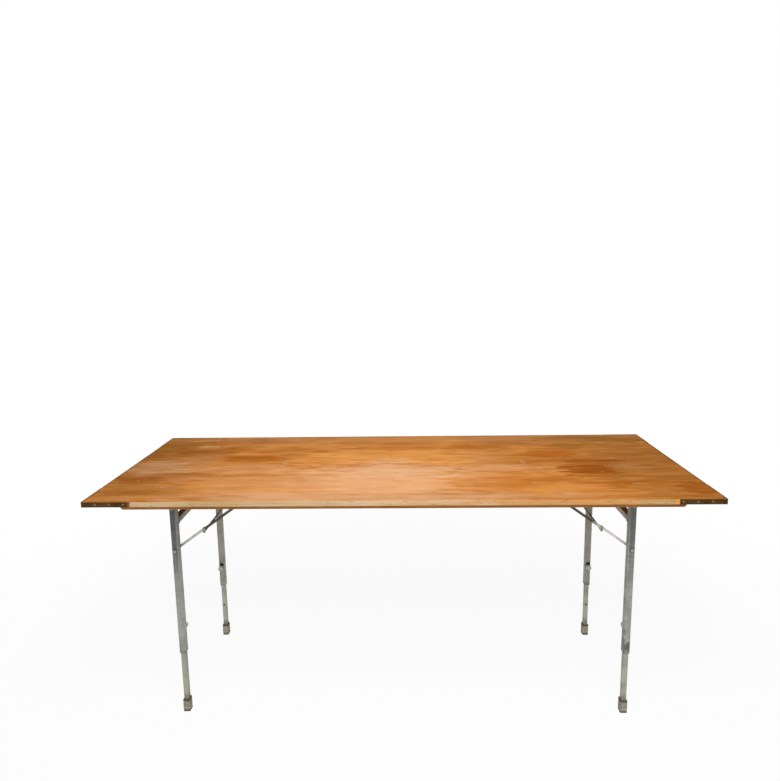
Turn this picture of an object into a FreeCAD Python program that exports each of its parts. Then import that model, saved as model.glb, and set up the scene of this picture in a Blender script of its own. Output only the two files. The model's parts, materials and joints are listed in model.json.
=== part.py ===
import FreeCAD, Part
import Sketcher
import os

# Folding trestle table: a plywood top on two hinged leg frames with telescoping legs.
# Millimetres. The origin is on the floor under the middle of the top: X runs along the top,
# -Y is the front and Z points up. The table stands unfolded with its legs at full length.

os.makedirs("parts", exist_ok=True)
doc = FreeCAD.newDocument("folding_trestle_table")
sheet = doc.addObject("Spreadsheet::Sheet", "dims")

sizes = {
    # Plywood top
    "table_height": 760,
    "top_length": 1830,
    "top_width": 762,
    "top_thick": 15,
    # Steel straps let into the corners of the top
    "guard_reach": 132,
    "guard_thick": 2,
    "guard_radius": 4,
    "guard_screw_end": 9,
    "guard_screw_pitch": 40.5,
    "guard_screw_bite": 14,
    "guard_head_radius": 4,
    "guard_head_high": 1.4,
    # Battens under the top
    "batten_high": 20,
    "batten_wide": 45,
    "batten_setback": 36,
    "batten_end_inset": 97,
    "batten_bevel_high": 8,
    "batten_bevel_long": 7,
    "batten_screw_end": 60,
    "hinge_batten_margin": 2,
    "hinge_batten_screw_spread": 240,
    # Screws
    "sunk_head_radius": 4,
    "sunk_head_high": 2.4,
    "sunk_shank_radius": 2,
    "pan_head_radius": 3.5,
    "pan_head_high": 2,
    "pan_shank_radius": 1.75,
    "screw_cover": 5,
    "screw_edge": 8,
    "screw_gap": 0.05,
    # Leg tubes and the cross tube between them
    "leg_inset": 213,
    "leg_setback": 148,
    "tube_wide": 20,
    "tube_deep": 25,
    "tube_wall": 2,
    "tube_corner": 2.5,
    "tube_over": 12,
    "cross_high": 20,
    "cross_drop": 51,
    # Hinge brackets and bolts
    "pivot_drop": 29,
    "bracket_thick": 3,
    "hinge_base_long": 60,
    "hinge_ear_wide": 22,
    "hinge_gap": 0.5,
    "hinge_screw_spread": 16,
    "hinge_bolt_radius": 4,
    "hinge_hex_across": 13,
    "hinge_head_high": 5.3,
    "hinge_nut_high": 6.5,
    "bolt_end": 2,
    # Folding stays
    "stay_reach": 253,
    "stay_bolt_drop": 144,
    "stay_pin_drop": 12,
    "stay_lower_long": 104,
    "stay_room": 3,
    "link_wide": 8,
    "link_thick": 4,
    "link_gap": 0.4,
    "link_eye_radius": 5.5,
    "stay_base_long": 52,
    "stay_base_wide": 24,
    "stay_ear_wide": 18,
    "stay_pin_radius": 3,
    "stay_pin_head_radius": 4.5,
    "stay_pin_head_high": 1.5,
    "stay_bolt_radius": 3,
    "stay_hex_across": 10,
    "stay_head_high": 4,
    "stay_nut_high": 5,
    "bush_radius": 6,
    "rivet_radius": 3,
    "rivet_head_radius": 5,
    "rivet_head_high": 2,
    "bar_radius": 3,
    "bar_back": 6,
    "bar_drop": 7,
    "bar_lug_radius": 5,
    # Telescoping legs and feet
    "leg_travel": 158,
    "slide_gap": 0.5,
    "inner_wall": 1.5,
    "inner_corner": 2,
    "inner_over_lock": 7,
    "lock_above_end": 77,
    "lock_hole_gap": 0.2,
    "foot_high": 42,
    "foot_floor": 4,
    "foot_wide": 22,
    "foot_deep": 27,
    "foot_corner": 3.5,
    "foot_bevel": 2.5,
    "foot_gap": 0.1,
    "foot_stop_gap": 8,
    # Lock plungers
    "sight_radius": 7.6,
    "sight_rise": 7.5,
    "sight_rim": 0.2,
    "housing_radius": 7,
    "housing_long": 8,
    "housing_end": 1,
    "spring_bore_radius": 5,
    "spring_outer_radius": 4.6,
    "spring_wire": 1.2,
    "spring_gap": 0.1,
    "pin_radius": 3,
    "pin_tip": 0.4,
    "pin_shoulder_radius": 4.8,
    "pin_shoulder_long": 1.2,
    "knob_radius": 9.5,
    "knob_long": 9,
    "knob_edge": 1,
    "knob_dish_radius": 4.5,
    "knob_dish_deep": 1,
    # Clearance of parts that turn or slide on each other
    "run_gap": 0.2,
    "pin_gap": 0.05,
}
for row, (alias, size) in enumerate(sizes.items(), start=1):
    sheet.set(f"A{row}", alias)
    sheet.set(f"B{row}", str(size))
    sheet.setAlias(f"B{row}", alias)
doc.recompute()

guard_screws_each_arm = 3
long_batten_screws = 7
hinge_batten_screws = 3
leg_lock_holes = 2
# The flat end of a screw, pin or rivet head, as a share of the head's radius
head_taper = 0.6

sides = {"left": -1, "right": 1}
ends = {"front": -1, "back": 1}
corners = [(end, side) for end in ends for side in sides]

# Heights and places that several pieces share, worked out from the sheet
top_under = "(dims.table_height - dims.top_thick)"
batten_under = f"({top_under} - dims.batten_high)"
pivot_height = f"({batten_under} - dims.pivot_drop)"
leg_across = "(dims.top_length / 2 - dims.leg_inset)"
leg_along = "(dims.top_width / 2 - dims.leg_setback)"
leg_outer_face = f"({leg_along} + dims.tube_deep / 2)"
leg_inner_face = f"({leg_along} - dims.tube_deep / 2)"
tube_end = "(dims.foot_high + dims.leg_travel + dims.foot_stop_gap)"
lock_height = f"({tube_end} + dims.lock_above_end)"
inner_top = f"({lock_height} + dims.inner_over_lock)"
cross_height = f"({pivot_height} - dims.cross_drop)"
stay_bolt_height = f"({pivot_height} - dims.stay_bolt_drop)"
stay_pin_height = f"({top_under} - dims.stay_pin_drop)"
stay_pin_across = f"({leg_across} - dims.stay_reach)"
stay_rise = f"({stay_pin_height} - {stay_bolt_height})"
stay_long = f"sqrt(dims.stay_reach ^ 2 + {stay_rise} ^ 2)"
stay_upper_long = f"({stay_long} - dims.stay_lower_long)"
upper_link_face = f"({leg_inner_face} - dims.stay_room)"
lower_link_face = f"({upper_link_face} - dims.link_thick - dims.link_gap)"
inner_wide = "(dims.tube_wide - 2 * dims.tube_wall - 2 * dims.slide_gap)"
inner_deep = "(dims.tube_deep - 2 * dims.tube_wall - 2 * dims.slide_gap)"


def value(owner, text):
    """The number that an expression gives now."""
    number = owner.evalExpression(text)
    return float(getattr(number, "Value", number))


def place(piece, x="0", y="0", z="0"):
    """Bind a piece's position to expressions."""
    for axis, text in zip("xyz", (x, y, z)):
        piece.setExpression(f"Placement.Base.{axis}", text)


def aim(piece, axis):
    """Turn a piece so that its own Z lies along an axis."""
    turn = FreeCAD.Rotation(FreeCAD.Vector(0, 0, 1), FreeCAD.Vector(*axis))
    piece.Placement = FreeCAD.Placement(FreeCAD.Vector(), turn)


def block(name, size, centre):
    piece = doc.addObject("Part::Box", name)
    for side, text in zip(("Length", "Width", "Height"), size):
        piece.setExpression(side, text)
    place(piece, *(f"({c}) - ({s}) / 2" for c, s in zip(centre, size)))
    return piece


def rod(name, radius, length, start, axis):
    piece = doc.addObject("Part::Cylinder", name)
    piece.setExpression("Radius", radius)
    piece.setExpression("Height", length)
    aim(piece, axis)
    place(piece, *start)
    return piece


def cone(name, start_radius, end_radius, length, start, axis):
    piece = doc.addObject("Part::Cone", name)
    piece.setExpression("Radius1", start_radius)
    piece.setExpression("Radius2", end_radius)
    piece.setExpression("Height", length)
    aim(piece, axis)
    place(piece, *start)
    return piece


def hexagon(name, across, length, start, axis):
    piece = doc.addObject("Part::Prism", name)
    piece.Polygon = 6
    piece.setExpression("Circumradius", f"({across}) / sqrt(3)")
    piece.setExpression("Height", length)
    aim(piece, axis)
    place(piece, *start)
    return piece


def fuse(name, pieces):
    piece = doc.addObject("Part::MultiFuse", name)
    piece.Shapes = pieces
    piece.Refine = True
    return piece


def group(name, pieces):
    piece = doc.addObject("Part::Compound", name)
    piece.Links = pieces
    return piece


def cut(name, base, tools):
    piece = doc.addObject("Part::Cut", name)
    piece.Base = base
    piece.Tool = tools[0] if len(tools) == 1 else group(f"{name}_tools", tools)
    piece.Refine = True
    return piece


def common(name, base, tool):
    piece = doc.addObject("Part::Common", name)
    piece.Base = base
    piece.Tool = tool
    return piece


def polygon(body, name, plane, points):
    """A closed outline on one of a body's own planes, each point tied to two expressions."""
    sketch = body.newObject("Sketcher::SketchObject", name)
    support = next(f for f in body.Origin.OriginFeatures if f.Role == plane)
    sketch.AttachmentSupport = (support, "")
    sketch.MapMode = "FlatFace"
    spots = [FreeCAD.Vector(value(sketch, x), value(sketch, y), 0) for x, y in points]
    for here, there in zip(spots, spots[1:] + spots[:1]):
        sketch.addGeometry(Part.LineSegment(here, there))
    for line in range(len(points)):
        following = (line + 1) % len(points)
        sketch.addConstraint(Sketcher.Constraint("Coincident", line, 2, following, 1))
    for line, point in enumerate(points):
        for kind, text, axis in zip(("DistanceX", "DistanceY"), point, (-2, -1)):
            if text == "0":
                sketch.addConstraint(Sketcher.Constraint("PointOnObject", line, 1, axis))
                continue
            rule = Sketcher.Constraint(kind, -1, 1, line, 1, value(sketch, text))
            index = sketch.addConstraint(rule)
            sketch.setExpression(f"Constraints[{index}]", text)
    return sketch


def rectangle(body, name, wide, deep):
    half_wide = f"({wide}) / 2"
    half_deep = f"({deep}) / 2"
    points = [(f"-{half_wide}", f"-{half_deep}"), (half_wide, f"-{half_deep}"),
              (half_wide, half_deep), (f"-{half_wide}", half_deep)]
    return polygon(body, name, "XY_Plane", points)


def rounded_block(name, wide, deep, high, corner):
    """A body standing on its own XY plane, with its upright edges rounded."""
    body = doc.addObject("PartDesign::Body", name)
    blank = body.newObject("PartDesign::Pad", f"{name}_blank")
    blank.Profile = rectangle(body, f"{name}_outline", wide, deep)
    blank.setExpression("Length", high)
    doc.recompute()
    upright = [f"Edge{number}" for number, edge in enumerate(blank.Shape.Edges, start=1)
               if abs(edge.tangentAt(edge.FirstParameter).z) > 0.99]
    rounding = body.newObject("PartDesign::Fillet", f"{name}_corners")
    rounding.Base = (blank, upright)
    rounding.setExpression("Radius", corner)
    doc.recompute()
    return body


def tube(name, wide, deep, length, wall, corner):
    """A rectangular tube along its own Z."""
    body = rounded_block(name, wide, deep, length, corner)
    bore = body.newObject("PartDesign::Pocket", f"{name}_bore")
    bore.Profile = rectangle(body, f"{name}_bore_outline", f"{wide} - 2 * {wall}", f"{deep} - 2 * {wall}")
    bore.Type = "ThroughAll"
    bore.Reversed = True
    doc.recompute()
    return body


def turned(name, profile):
    """A body turned about its own Z from a profile of (radius, height) points."""
    body = doc.addObject("PartDesign::Body", name)
    sketch = polygon(body, f"{name}_profile", "XZ_Plane", profile)
    turning = body.newObject("PartDesign::Revolution", f"{name}_turning")
    turning.Profile = sketch
    turning.ReferenceAxis = (sketch, ["V_Axis"])
    turning.Angle = 360
    return body


def back_along(axis):
    return tuple(-step for step in axis)


def pan_screw(name, start, axis, length, head=("dims.pan_head_radius", "dims.pan_head_high")):
    """A screw whose head stands on a face at start, and the hole for its shank."""
    head_radius, head_high = head
    cap = cone(f"{name}_cap", head_radius, f"{head_radius} * {head_taper}", head_high,
               start, back_along(axis))
    shank = rod(f"{name}_shank", "dims.pan_shank_radius", length, start, axis)
    hole = rod(f"{name}_hole", "dims.pan_shank_radius + dims.screw_gap",
               f"{length} + dims.screw_gap", start, axis)
    return fuse(name, [cap, shank]), hole


def sunk_screw(name, start, axis, length):
    """A countersunk screw flush with a face at start, and its countersunk hole."""
    made = []
    for part_name, gap in ((name, "0"), (f"{name}_hole", "dims.screw_gap")):
        shank_radius = f"dims.sunk_shank_radius + {gap}"
        cap = cone(f"{part_name}_cap", f"dims.sunk_head_radius + {gap}", shank_radius,
                   "dims.sunk_head_high", start, axis)
        shank = rod(f"{part_name}_shank", shank_radius, f"{length} + {gap}", start, axis)
        made.append(fuse(part_name, [cap, shank]))
    return made


def spread(number, count):
    """Even steps from -1 to 1."""
    return 2 * number / (count - 1) - 1


nodes = []


def keep(piece, label):
    """Name a finished sub-part."""
    piece.Label = label
    nodes.append(piece)
    return piece


# Corner guards and the recesses that they lie in
def make_corner_guards(slab):
    core = rounded_block("guard_core", "dims.top_length - 2 * dims.guard_thick",
                         "dims.top_width - 2 * dims.guard_thick", "dims.top_thick",
                         "dims.guard_radius - dims.guard_thick")
    place(core, z=top_under)
    mid_height = f"{top_under} + dims.top_thick / 2"
    head = ("dims.guard_head_radius", "dims.guard_head_high")
    length = "(dims.guard_thick + dims.guard_screw_bite)"
    straps = []
    screws = []
    holes = []
    for end, side in corners:
        sx = sides[side]
        sy = ends[end]
        name = f"{end}_{side}_guard"
        region = block(f"{name}_region", ("dims.guard_reach", "dims.guard_reach", "dims.top_thick"),
                       (f"{sx} * (dims.top_length - dims.guard_reach) / 2",
                        f"{sy} * (dims.top_width - dims.guard_reach) / 2", mid_height))
        strap = cut(f"{name}_strap", common(f"{name}_edge", slab, region), [core])
        own_holes = []
        for number in range(guard_screws_each_arm):
            along = f"(dims.guard_reach - dims.guard_screw_end - {number} * dims.guard_screw_pitch)"
            on_long_edge = (f"{sx} * (dims.top_length / 2 - {along})",
                            f"{sy} * dims.top_width / 2", mid_height)
            on_short_edge = (f"{sx} * dims.top_length / 2",
                             f"{sy} * (dims.top_width / 2 - {along})", mid_height)
            for arm, start, axis in (("long", on_long_edge, (0, -sy, 0)),
                                     ("short", on_short_edge, (-sx, 0, 0))):
                screw, hole = pan_screw(f"{name}_{arm}_screw_{number}", start, axis, length, head)
                screws.append(screw)
                own_holes.append(hole)
        keep(cut(f"{name}_body", strap, own_holes), f"{end}_{side}_corner_guard")
        straps.append(strap)
        holes += own_holes
    keep(group("guard_screws", screws), "corner_guard_screws")
    return straps, holes


def make_battens(hinge_screw_holes):
    """Long battens along both edges and a hinge batten across the underside at each end."""
    screw_long = "(dims.batten_high + dims.top_thick - dims.screw_cover)"
    half_long = "(dims.top_length / 2 - dims.batten_end_inset)"
    screws = []
    holes = []
    for end, sy in ends.items():
        middle = f"{sy} * (dims.top_width / 2 - dims.batten_setback - dims.batten_wide / 2)"
        body = doc.addObject("PartDesign::Body", f"{end}_batten_blank")
        blank = body.newObject("PartDesign::Pad", f"{end}_batten_pad")
        bevel_start = f"({half_long} - dims.batten_bevel_long)"
        blank.Profile = polygon(body, f"{end}_batten_outline", "XZ_Plane", [
            (f"-{half_long}", "dims.batten_high"), (f"-{half_long}", "dims.batten_bevel_high"),
            (f"-{bevel_start}", "0"), (bevel_start, "0"),
            (half_long, "dims.batten_bevel_high"), (half_long, "dims.batten_high")])
        blank.setExpression("Length", "dims.batten_wide")
        blank.SideType = "Symmetric"
        place(body, y=middle, z=batten_under)
        own_holes = []
        for number in range(long_batten_screws):
            along = f"({half_long} - dims.batten_screw_end) * {spread(number, long_batten_screws)}"
            screw, hole = sunk_screw(f"{end}_batten_screw_{number}", (along, middle, batten_under),
                                     (0, 0, 1), screw_long)
            screws.append(screw)
            own_holes.append(hole)
        keep(cut(f"{end}_batten_body", body, own_holes), f"{end}_batten")
        holes += own_holes
    for side, sx in sides.items():
        across = f"{sx} * {leg_across}"
        blank = block(f"{side}_hinge_batten_blank",
                      ("dims.hinge_base_long + 2 * dims.hinge_batten_margin",
                       "dims.top_width - 2 * dims.batten_setback - 2 * dims.batten_wide", "dims.batten_high"),
                      (across, "0", f"{batten_under} + dims.batten_high / 2"))
        own_holes = []
        for number in range(hinge_batten_screws):
            along = f"dims.hinge_batten_screw_spread / 2 * {spread(number, hinge_batten_screws)}"
            screw, hole = sunk_screw(f"{side}_hinge_batten_screw_{number}", (across, along, batten_under),
                                     (0, 0, 1), screw_long)
            screws.append(screw)
            own_holes.append(hole)
        keep(cut(f"{side}_hinge_batten_body", blank, own_holes + hinge_screw_holes[side]),
             f"{side}_hinge_batten")
        holes += own_holes
    keep(group("batten_screw_group", screws), "batten_screws")
    return holes


def bracket(name, x, y, ear_middle, ear_wide, base_size, base_top, pin_height, pin_radius, screw_spots):
    """A plate with two ears that hang from it and carry a pin along Y."""
    base_long, base_wide = base_size
    base = block(f"{name}_base", (base_long, base_wide, "dims.bracket_thick"),
                 (x, y, f"{base_top} - dims.bracket_thick / 2"))
    parts = [base]
    for number, step in enumerate((-1, 1)):
        ear_y = f"{y} + {step} * ({ear_middle})"
        parts.append(block(f"{name}_ear_{number}",
                           (ear_wide, "dims.bracket_thick", f"{base_top} - {pin_height}"),
                           (x, ear_y, f"({base_top} + {pin_height}) / 2")))
        parts.append(rod(f"{name}_ear_end_{number}", f"{ear_wide} / 2", "dims.bracket_thick",
                         (x, f"{ear_y} - dims.bracket_thick / 2", pin_height), (0, 1, 0)))
    bore = rod(f"{name}_bore", f"{pin_radius} + dims.pin_gap", f"2 * ({ear_middle} + dims.bracket_thick)",
               (x, f"{y} - ({ear_middle}) - dims.bracket_thick", pin_height), (0, 1, 0))
    holes = [rod(f"{name}_screw_hole_{number}", "dims.pan_shank_radius + dims.screw_gap",
                 "dims.bracket_thick", (spot_x, spot_y, f"{base_top} - dims.bracket_thick"), (0, 0, 1))
             for number, (spot_x, spot_y) in enumerate(screw_spots)]
    return cut(f"{name}_body", fuse(f"{name}_blank", parts), [bore] + holes)


def make_hinge_brackets(bracket_screws):
    """A two-eared bracket over each leg tube, with the bolt that the leg turns on."""
    ear_middle = "(dims.tube_deep / 2 + dims.hinge_gap + dims.bracket_thick / 2)"
    half_wide = "(dims.tube_deep / 2 + dims.hinge_gap + dims.bracket_thick)"
    screw_long = "(dims.bracket_thick + dims.batten_high - dims.screw_cover)"
    bolts = []
    holes = {side: [] for side in sides}
    for end, side in corners:
        sx = sides[side]
        sy = ends[end]
        name = f"{end}_{side}_hinge"
        x = f"{sx} * {leg_across}"
        y = f"{sy} * {leg_along}"
        spots = [(f"{x} + {i} * (dims.hinge_base_long / 2 - dims.screw_edge)",
                  f"{y} + {j} * dims.hinge_screw_spread / 2") for i in (-1, 1) for j in (-1, 1)]
        keep(bracket(name, x, y, ear_middle, "dims.hinge_ear_wide",
                     ("dims.hinge_base_long", f"2 * {half_wide}"), batten_under, pivot_height,
                     "dims.hinge_bolt_radius", spots), f"{end}_{side}_hinge_bracket")
        for number, spot in enumerate(spots):
            screw, hole = pan_screw(f"{name}_screw_{number}", (*spot, f"{batten_under} - dims.bracket_thick"),
                                    (0, 0, 1), screw_long)
            bracket_screws.append(screw)
            holes[side].append(hole)
        outside = (x, f"{y} + {sy} * {half_wide}", pivot_height)
        inside = (x, f"{y} - {sy} * {half_wide}", pivot_height)
        head = hexagon(f"{name}_bolt_head", "dims.hinge_hex_across", "dims.hinge_head_high",
                       outside, (0, sy, 0))
        shank = rod(f"{name}_bolt_shank", "dims.hinge_bolt_radius",
                    f"2 * {half_wide} + dims.hinge_nut_high + dims.bolt_end", outside, (0, -sy, 0))
        nut_blank = hexagon(f"{name}_nut_blank", "dims.hinge_hex_across", "dims.hinge_nut_high",
                            inside, (0, -sy, 0))
        nut_bore = rod(f"{name}_nut_bore", "dims.hinge_bolt_radius + dims.pin_gap", "dims.hinge_nut_high",
                       inside, (0, -sy, 0))
        bolts += [fuse(f"{name}_bolt", [head, shank]), cut(f"{name}_nut", nut_blank, [nut_bore])]
    keep(group("hinge_bolt_group", bolts), "hinge_bolts")
    return holes


def make_stay_brackets(bracket_screws):
    """A small two-eared bracket on the underside for the upper end of each stay."""
    ear_middle = "(dims.link_thick / 2 + dims.link_gap + dims.bracket_thick / 2)"
    half_wide = "(dims.link_thick / 2 + dims.link_gap + dims.bracket_thick)"
    screw_long = "(dims.bracket_thick + dims.top_thick - dims.screw_cover)"
    pins = []
    holes = []
    for end, side in corners:
        sx = sides[side]
        sy = ends[end]
        name = f"{end}_{side}_stay_bracket"
        x = f"{sx} * {stay_pin_across}"
        y = f"{sy} * ({upper_link_face} - dims.link_thick / 2)"
        spots = [(f"{x} + {i} * (dims.stay_base_long / 2 - dims.screw_edge)", y) for i in (-1, 1)]
        keep(bracket(name, x, y, ear_middle, "dims.stay_ear_wide",
                     ("dims.stay_base_long", "dims.stay_base_wide"), top_under, stay_pin_height,
                     "dims.stay_pin_radius", spots), name)
        for number, spot in enumerate(spots):
            screw, hole = pan_screw(f"{name}_screw_{number}", (*spot, f"{top_under} - dims.bracket_thick"),
                                    (0, 0, 1), screw_long)
            bracket_screws.append(screw)
            holes.append(hole)
        first = (x, f"{y} - {half_wide}", stay_pin_height)
        last = (x, f"{y} + {half_wide}", stay_pin_height)
        heads = [cone(f"{name}_pin_head_{number}", "dims.stay_pin_head_radius",
                      f"dims.stay_pin_head_radius * {head_taper}", "dims.stay_pin_head_high", start, axis)
                 for number, (start, axis) in enumerate(((first, (0, -1, 0)), (last, (0, 1, 0))))]
        shank = rod(f"{name}_pin_shank", "dims.stay_pin_radius", f"2 * {half_wide}", first, (0, 1, 0))
        pins.append(fuse(f"{name}_pin", heads + [shank]))
    keep(group("stay_pin_group", pins), "stay_bracket_pins")
    return holes


def make_leg_frame(side):
    """Two leg tubes, the cross tube between them, and the fittings fixed to the tubes."""
    sx = sides[side]
    x = f"{sx} * {leg_across}"
    bolts = []
    bushes = []
    housings = []
    springs = []
    for end, sy in ends.items():
        name = f"{end}_{side}_leg"
        y = f"{sy} * {leg_along}"
        inward = (0, -sy, 0)
        blank = tube(f"{name}_blank", "dims.tube_wide", "dims.tube_deep",
                     f"{pivot_height} + dims.tube_over - {tube_end}", "dims.tube_wall", "dims.tube_corner")
        place(blank, x, y, tube_end)
        outer = f"{sy} * {leg_outer_face}"
        inner = f"{sy} * {leg_inner_face}"
        wall_start = f"{sy} * ({leg_inner_face} + dims.tube_wall)"
        # A crescent in the wall above the plunger housing shows whether the inner tube is pulled out
        crescent = cut(f"{name}_sight_hole",
                       rod(f"{name}_sight_disc", "dims.sight_radius", "dims.tube_wall",
                           (x, wall_start, f"{lock_height} + dims.sight_rise"), inward),
                       [rod(f"{name}_housing_foot", "dims.housing_radius + dims.sight_rim", "dims.tube_wall",
                            (x, wall_start, lock_height), inward)])
        holes = [
            crescent,
            rod(f"{name}_hinge_hole", "dims.hinge_bolt_radius + dims.pin_gap", "dims.tube_deep",
                (x, outer, pivot_height), inward),
            rod(f"{name}_stay_hole", "dims.stay_bolt_radius + dims.pin_gap", "dims.tube_deep",
                (x, outer, stay_bolt_height), inward),
            rod(f"{name}_plunger_hole", "dims.spring_bore_radius", "dims.tube_wall",
                (x, wall_start, lock_height), inward),
        ]
        keep(cut(f"{name}_tube_body", blank, holes), f"{name}_tube")

        # Stay bolt with its head on the outer face, then bush, link and nut on the inner side
        bush_long = "(dims.stay_room + dims.link_thick + dims.link_gap - dims.run_gap)"
        nut_start = f"({lower_link_face} - dims.link_thick - dims.run_gap)"
        head = hexagon(f"{name}_stay_bolt_head", "dims.stay_hex_across", "dims.stay_head_high",
                       (x, outer, stay_bolt_height), (0, sy, 0))
        shank = rod(f"{name}_stay_bolt_shank", "dims.stay_bolt_radius",
                    f"{leg_outer_face} - {nut_start} + dims.stay_nut_high + dims.bolt_end",
                    (x, outer, stay_bolt_height), inward)
        nut_place = (x, f"{sy} * {nut_start}", stay_bolt_height)
        nut_blank = hexagon(f"{name}_stay_nut_blank", "dims.stay_hex_across", "dims.stay_nut_high",
                            nut_place, inward)
        nut_bore = rod(f"{name}_stay_nut_bore", "dims.stay_bolt_radius + dims.pin_gap", "dims.stay_nut_high",
                       nut_place, inward)
        bolts += [fuse(f"{name}_stay_bolt", [head, shank]), cut(f"{name}_stay_nut", nut_blank, [nut_bore])]
        bush_place = (x, inner, stay_bolt_height)
        bush_blank = rod(f"{name}_bush_blank", "dims.bush_radius", bush_long, bush_place, inward)
        bush_bore = rod(f"{name}_bush_bore", "dims.stay_bolt_radius + dims.pin_gap", bush_long,
                        bush_place, inward)
        bushes.append(cut(f"{name}_bush", bush_blank, [bush_bore]))

        # Plunger housing: a collar on the tube with a spring bore behind a thin end wall
        collar_place = (x, inner, lock_height)
        collar = rod(f"{name}_collar", "dims.housing_radius", "dims.housing_long", collar_place, inward)
        spring_bore = rod(f"{name}_spring_bore", "dims.spring_bore_radius",
                          "dims.housing_long - dims.housing_end", collar_place, inward)
        pin_bore = rod(f"{name}_pin_bore", "dims.pin_radius + dims.pin_gap", "dims.housing_long",
                       collar_place, inward)
        bores = fuse(f"{name}_housing_bore", [spring_bore, pin_bore])
        housings.append(cut(f"{name}_housing", collar, [bores]))
        spring_seat = f"({leg_inner_face} + dims.tube_wall - dims.pin_shoulder_long - dims.spring_gap)"
        spring_start = (x, f"{sy} * {spring_seat}", lock_height)
        spring_long = ("(dims.tube_wall - dims.pin_shoulder_long + dims.housing_long - dims.housing_end"
                       " - 2 * dims.spring_gap)")
        sleeve = rod(f"{name}_spring_sleeve", "dims.spring_outer_radius", spring_long, spring_start, inward)
        hollow = rod(f"{name}_spring_hollow", "dims.spring_outer_radius - dims.spring_wire", spring_long,
                     spring_start, inward)
        springs.append(cut(f"{name}_spring", sleeve, [hollow]))
    cross = tube(f"{side}_cross_tube_body", "dims.tube_wide", "dims.cross_high", f"2 * {leg_inner_face}",
                 "dims.tube_wall", "dims.tube_corner")
    aim(cross, (0, 1, 0))
    place(cross, x, f"-{leg_inner_face}", cross_height)
    keep(cross, f"{side}_cross_tube")
    keep(group(f"{side}_stay_bolt_group", bolts), f"{side}_stay_bolts")
    keep(group(f"{side}_stay_bush_group", bushes), f"{side}_stay_bushes")
    keep(group(f"{side}_housing_group", housings), f"{side}_plunger_housings")
    keep(group(f"{side}_spring_group", springs), f"{side}_plunger_springs")


def make_lower_leg(end, side):
    """The inner tube that slides in a leg tube, the foot on its lower end, and the lock plunger."""
    sx = sides[side]
    sy = ends[end]
    name = f"{end}_{side}"
    x = f"{sx} * {leg_across}"
    y = f"{sy} * {leg_along}"
    inward = (0, -sy, 0)
    blank = tube(f"{name}_inner_blank", inner_wide, inner_deep, f"{inner_top} - dims.foot_floor",
                 "dims.inner_wall", "dims.inner_corner")
    place(blank, x, y, "dims.foot_floor")
    wall_start = f"{sy} * ({leg_along} - {inner_deep} / 2 + dims.inner_wall)"
    holes = [rod(f"{name}_lock_hole_{number}", "dims.pin_radius + dims.lock_hole_gap", "dims.inner_wall",
                 (x, wall_start, f"{lock_height} - {number} * dims.leg_travel"), inward)
             for number in range(leg_lock_holes)]
    keep(cut(f"{name}_inner_body", blank, holes), f"{name}_inner_leg")

    foot = rounded_block(f"{name}_foot_body", "dims.foot_wide", "dims.foot_deep", "dims.foot_high",
                         "dims.foot_corner")
    solid = foot.Tip
    bottom = [f"Edge{number}" for number, edge in enumerate(solid.Shape.Edges, start=1)
              if edge.BoundBox.ZMax < 0.001]
    bevel = foot.newObject("PartDesign::Chamfer", f"{name}_foot_bevel")
    bevel.Base = (solid, bottom)
    bevel.setExpression("Size", "dims.foot_bevel")
    doc.recompute()
    mouth = rectangle(foot, f"{name}_foot_mouth", f"{inner_wide} + 2 * dims.foot_gap",
                      f"{inner_deep} + 2 * dims.foot_gap")
    mouth.setExpression("AttachmentOffset.Base.z", "dims.foot_high")
    socket = foot.newObject("PartDesign::Pocket", f"{name}_foot_socket")
    socket.Profile = mouth
    socket.setExpression("Length", "dims.foot_high - dims.foot_floor")
    place(foot, x, y)
    keep(foot, f"{name}_foot")

    tip = "-dims.tube_wall - dims.pin_tip"
    shoulder = "-dims.tube_wall + dims.pin_shoulder_long"
    knob = "dims.housing_long + dims.run_gap"
    face = f"{knob} + dims.knob_long"
    plunger = turned(f"{name}_plunger_body", [
        ("0", tip), ("dims.pin_radius", tip), ("dims.pin_radius", "-dims.tube_wall"),
        ("dims.pin_shoulder_radius", "-dims.tube_wall"), ("dims.pin_shoulder_radius", shoulder),
        ("dims.pin_radius", shoulder), ("dims.pin_radius", knob),
        ("dims.knob_radius - dims.knob_edge", knob), ("dims.knob_radius", f"{knob} + dims.knob_edge"),
        ("dims.knob_radius", f"{face} - dims.knob_edge"), ("dims.knob_radius - dims.knob_edge", face),
        ("dims.knob_dish_radius", face), ("dims.knob_dish_radius", f"{face} - dims.knob_dish_deep"),
        ("0", f"{face} - dims.knob_dish_deep")])
    aim(plunger, inward)
    place(plunger, x, f"{sy} * {leg_inner_face}", lock_height)
    keep(plunger, f"{name}_lock_plunger")


def tilt(piece, x, z, rise, run):
    """Place a stay piece at its pivot, with its own X along the stay."""
    # The axis only holds on a turn that isn't zero; the expression then sets the real angle
    start_turn = FreeCAD.Rotation(FreeCAD.Vector(0, -1, 0), 1)
    piece.Placement = FreeCAD.Placement(FreeCAD.Vector(), start_turn)
    piece.setExpression("Placement.Rotation.Angle", f"atan2({rise}; {run})")
    place(piece, x, "0", z)


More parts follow.
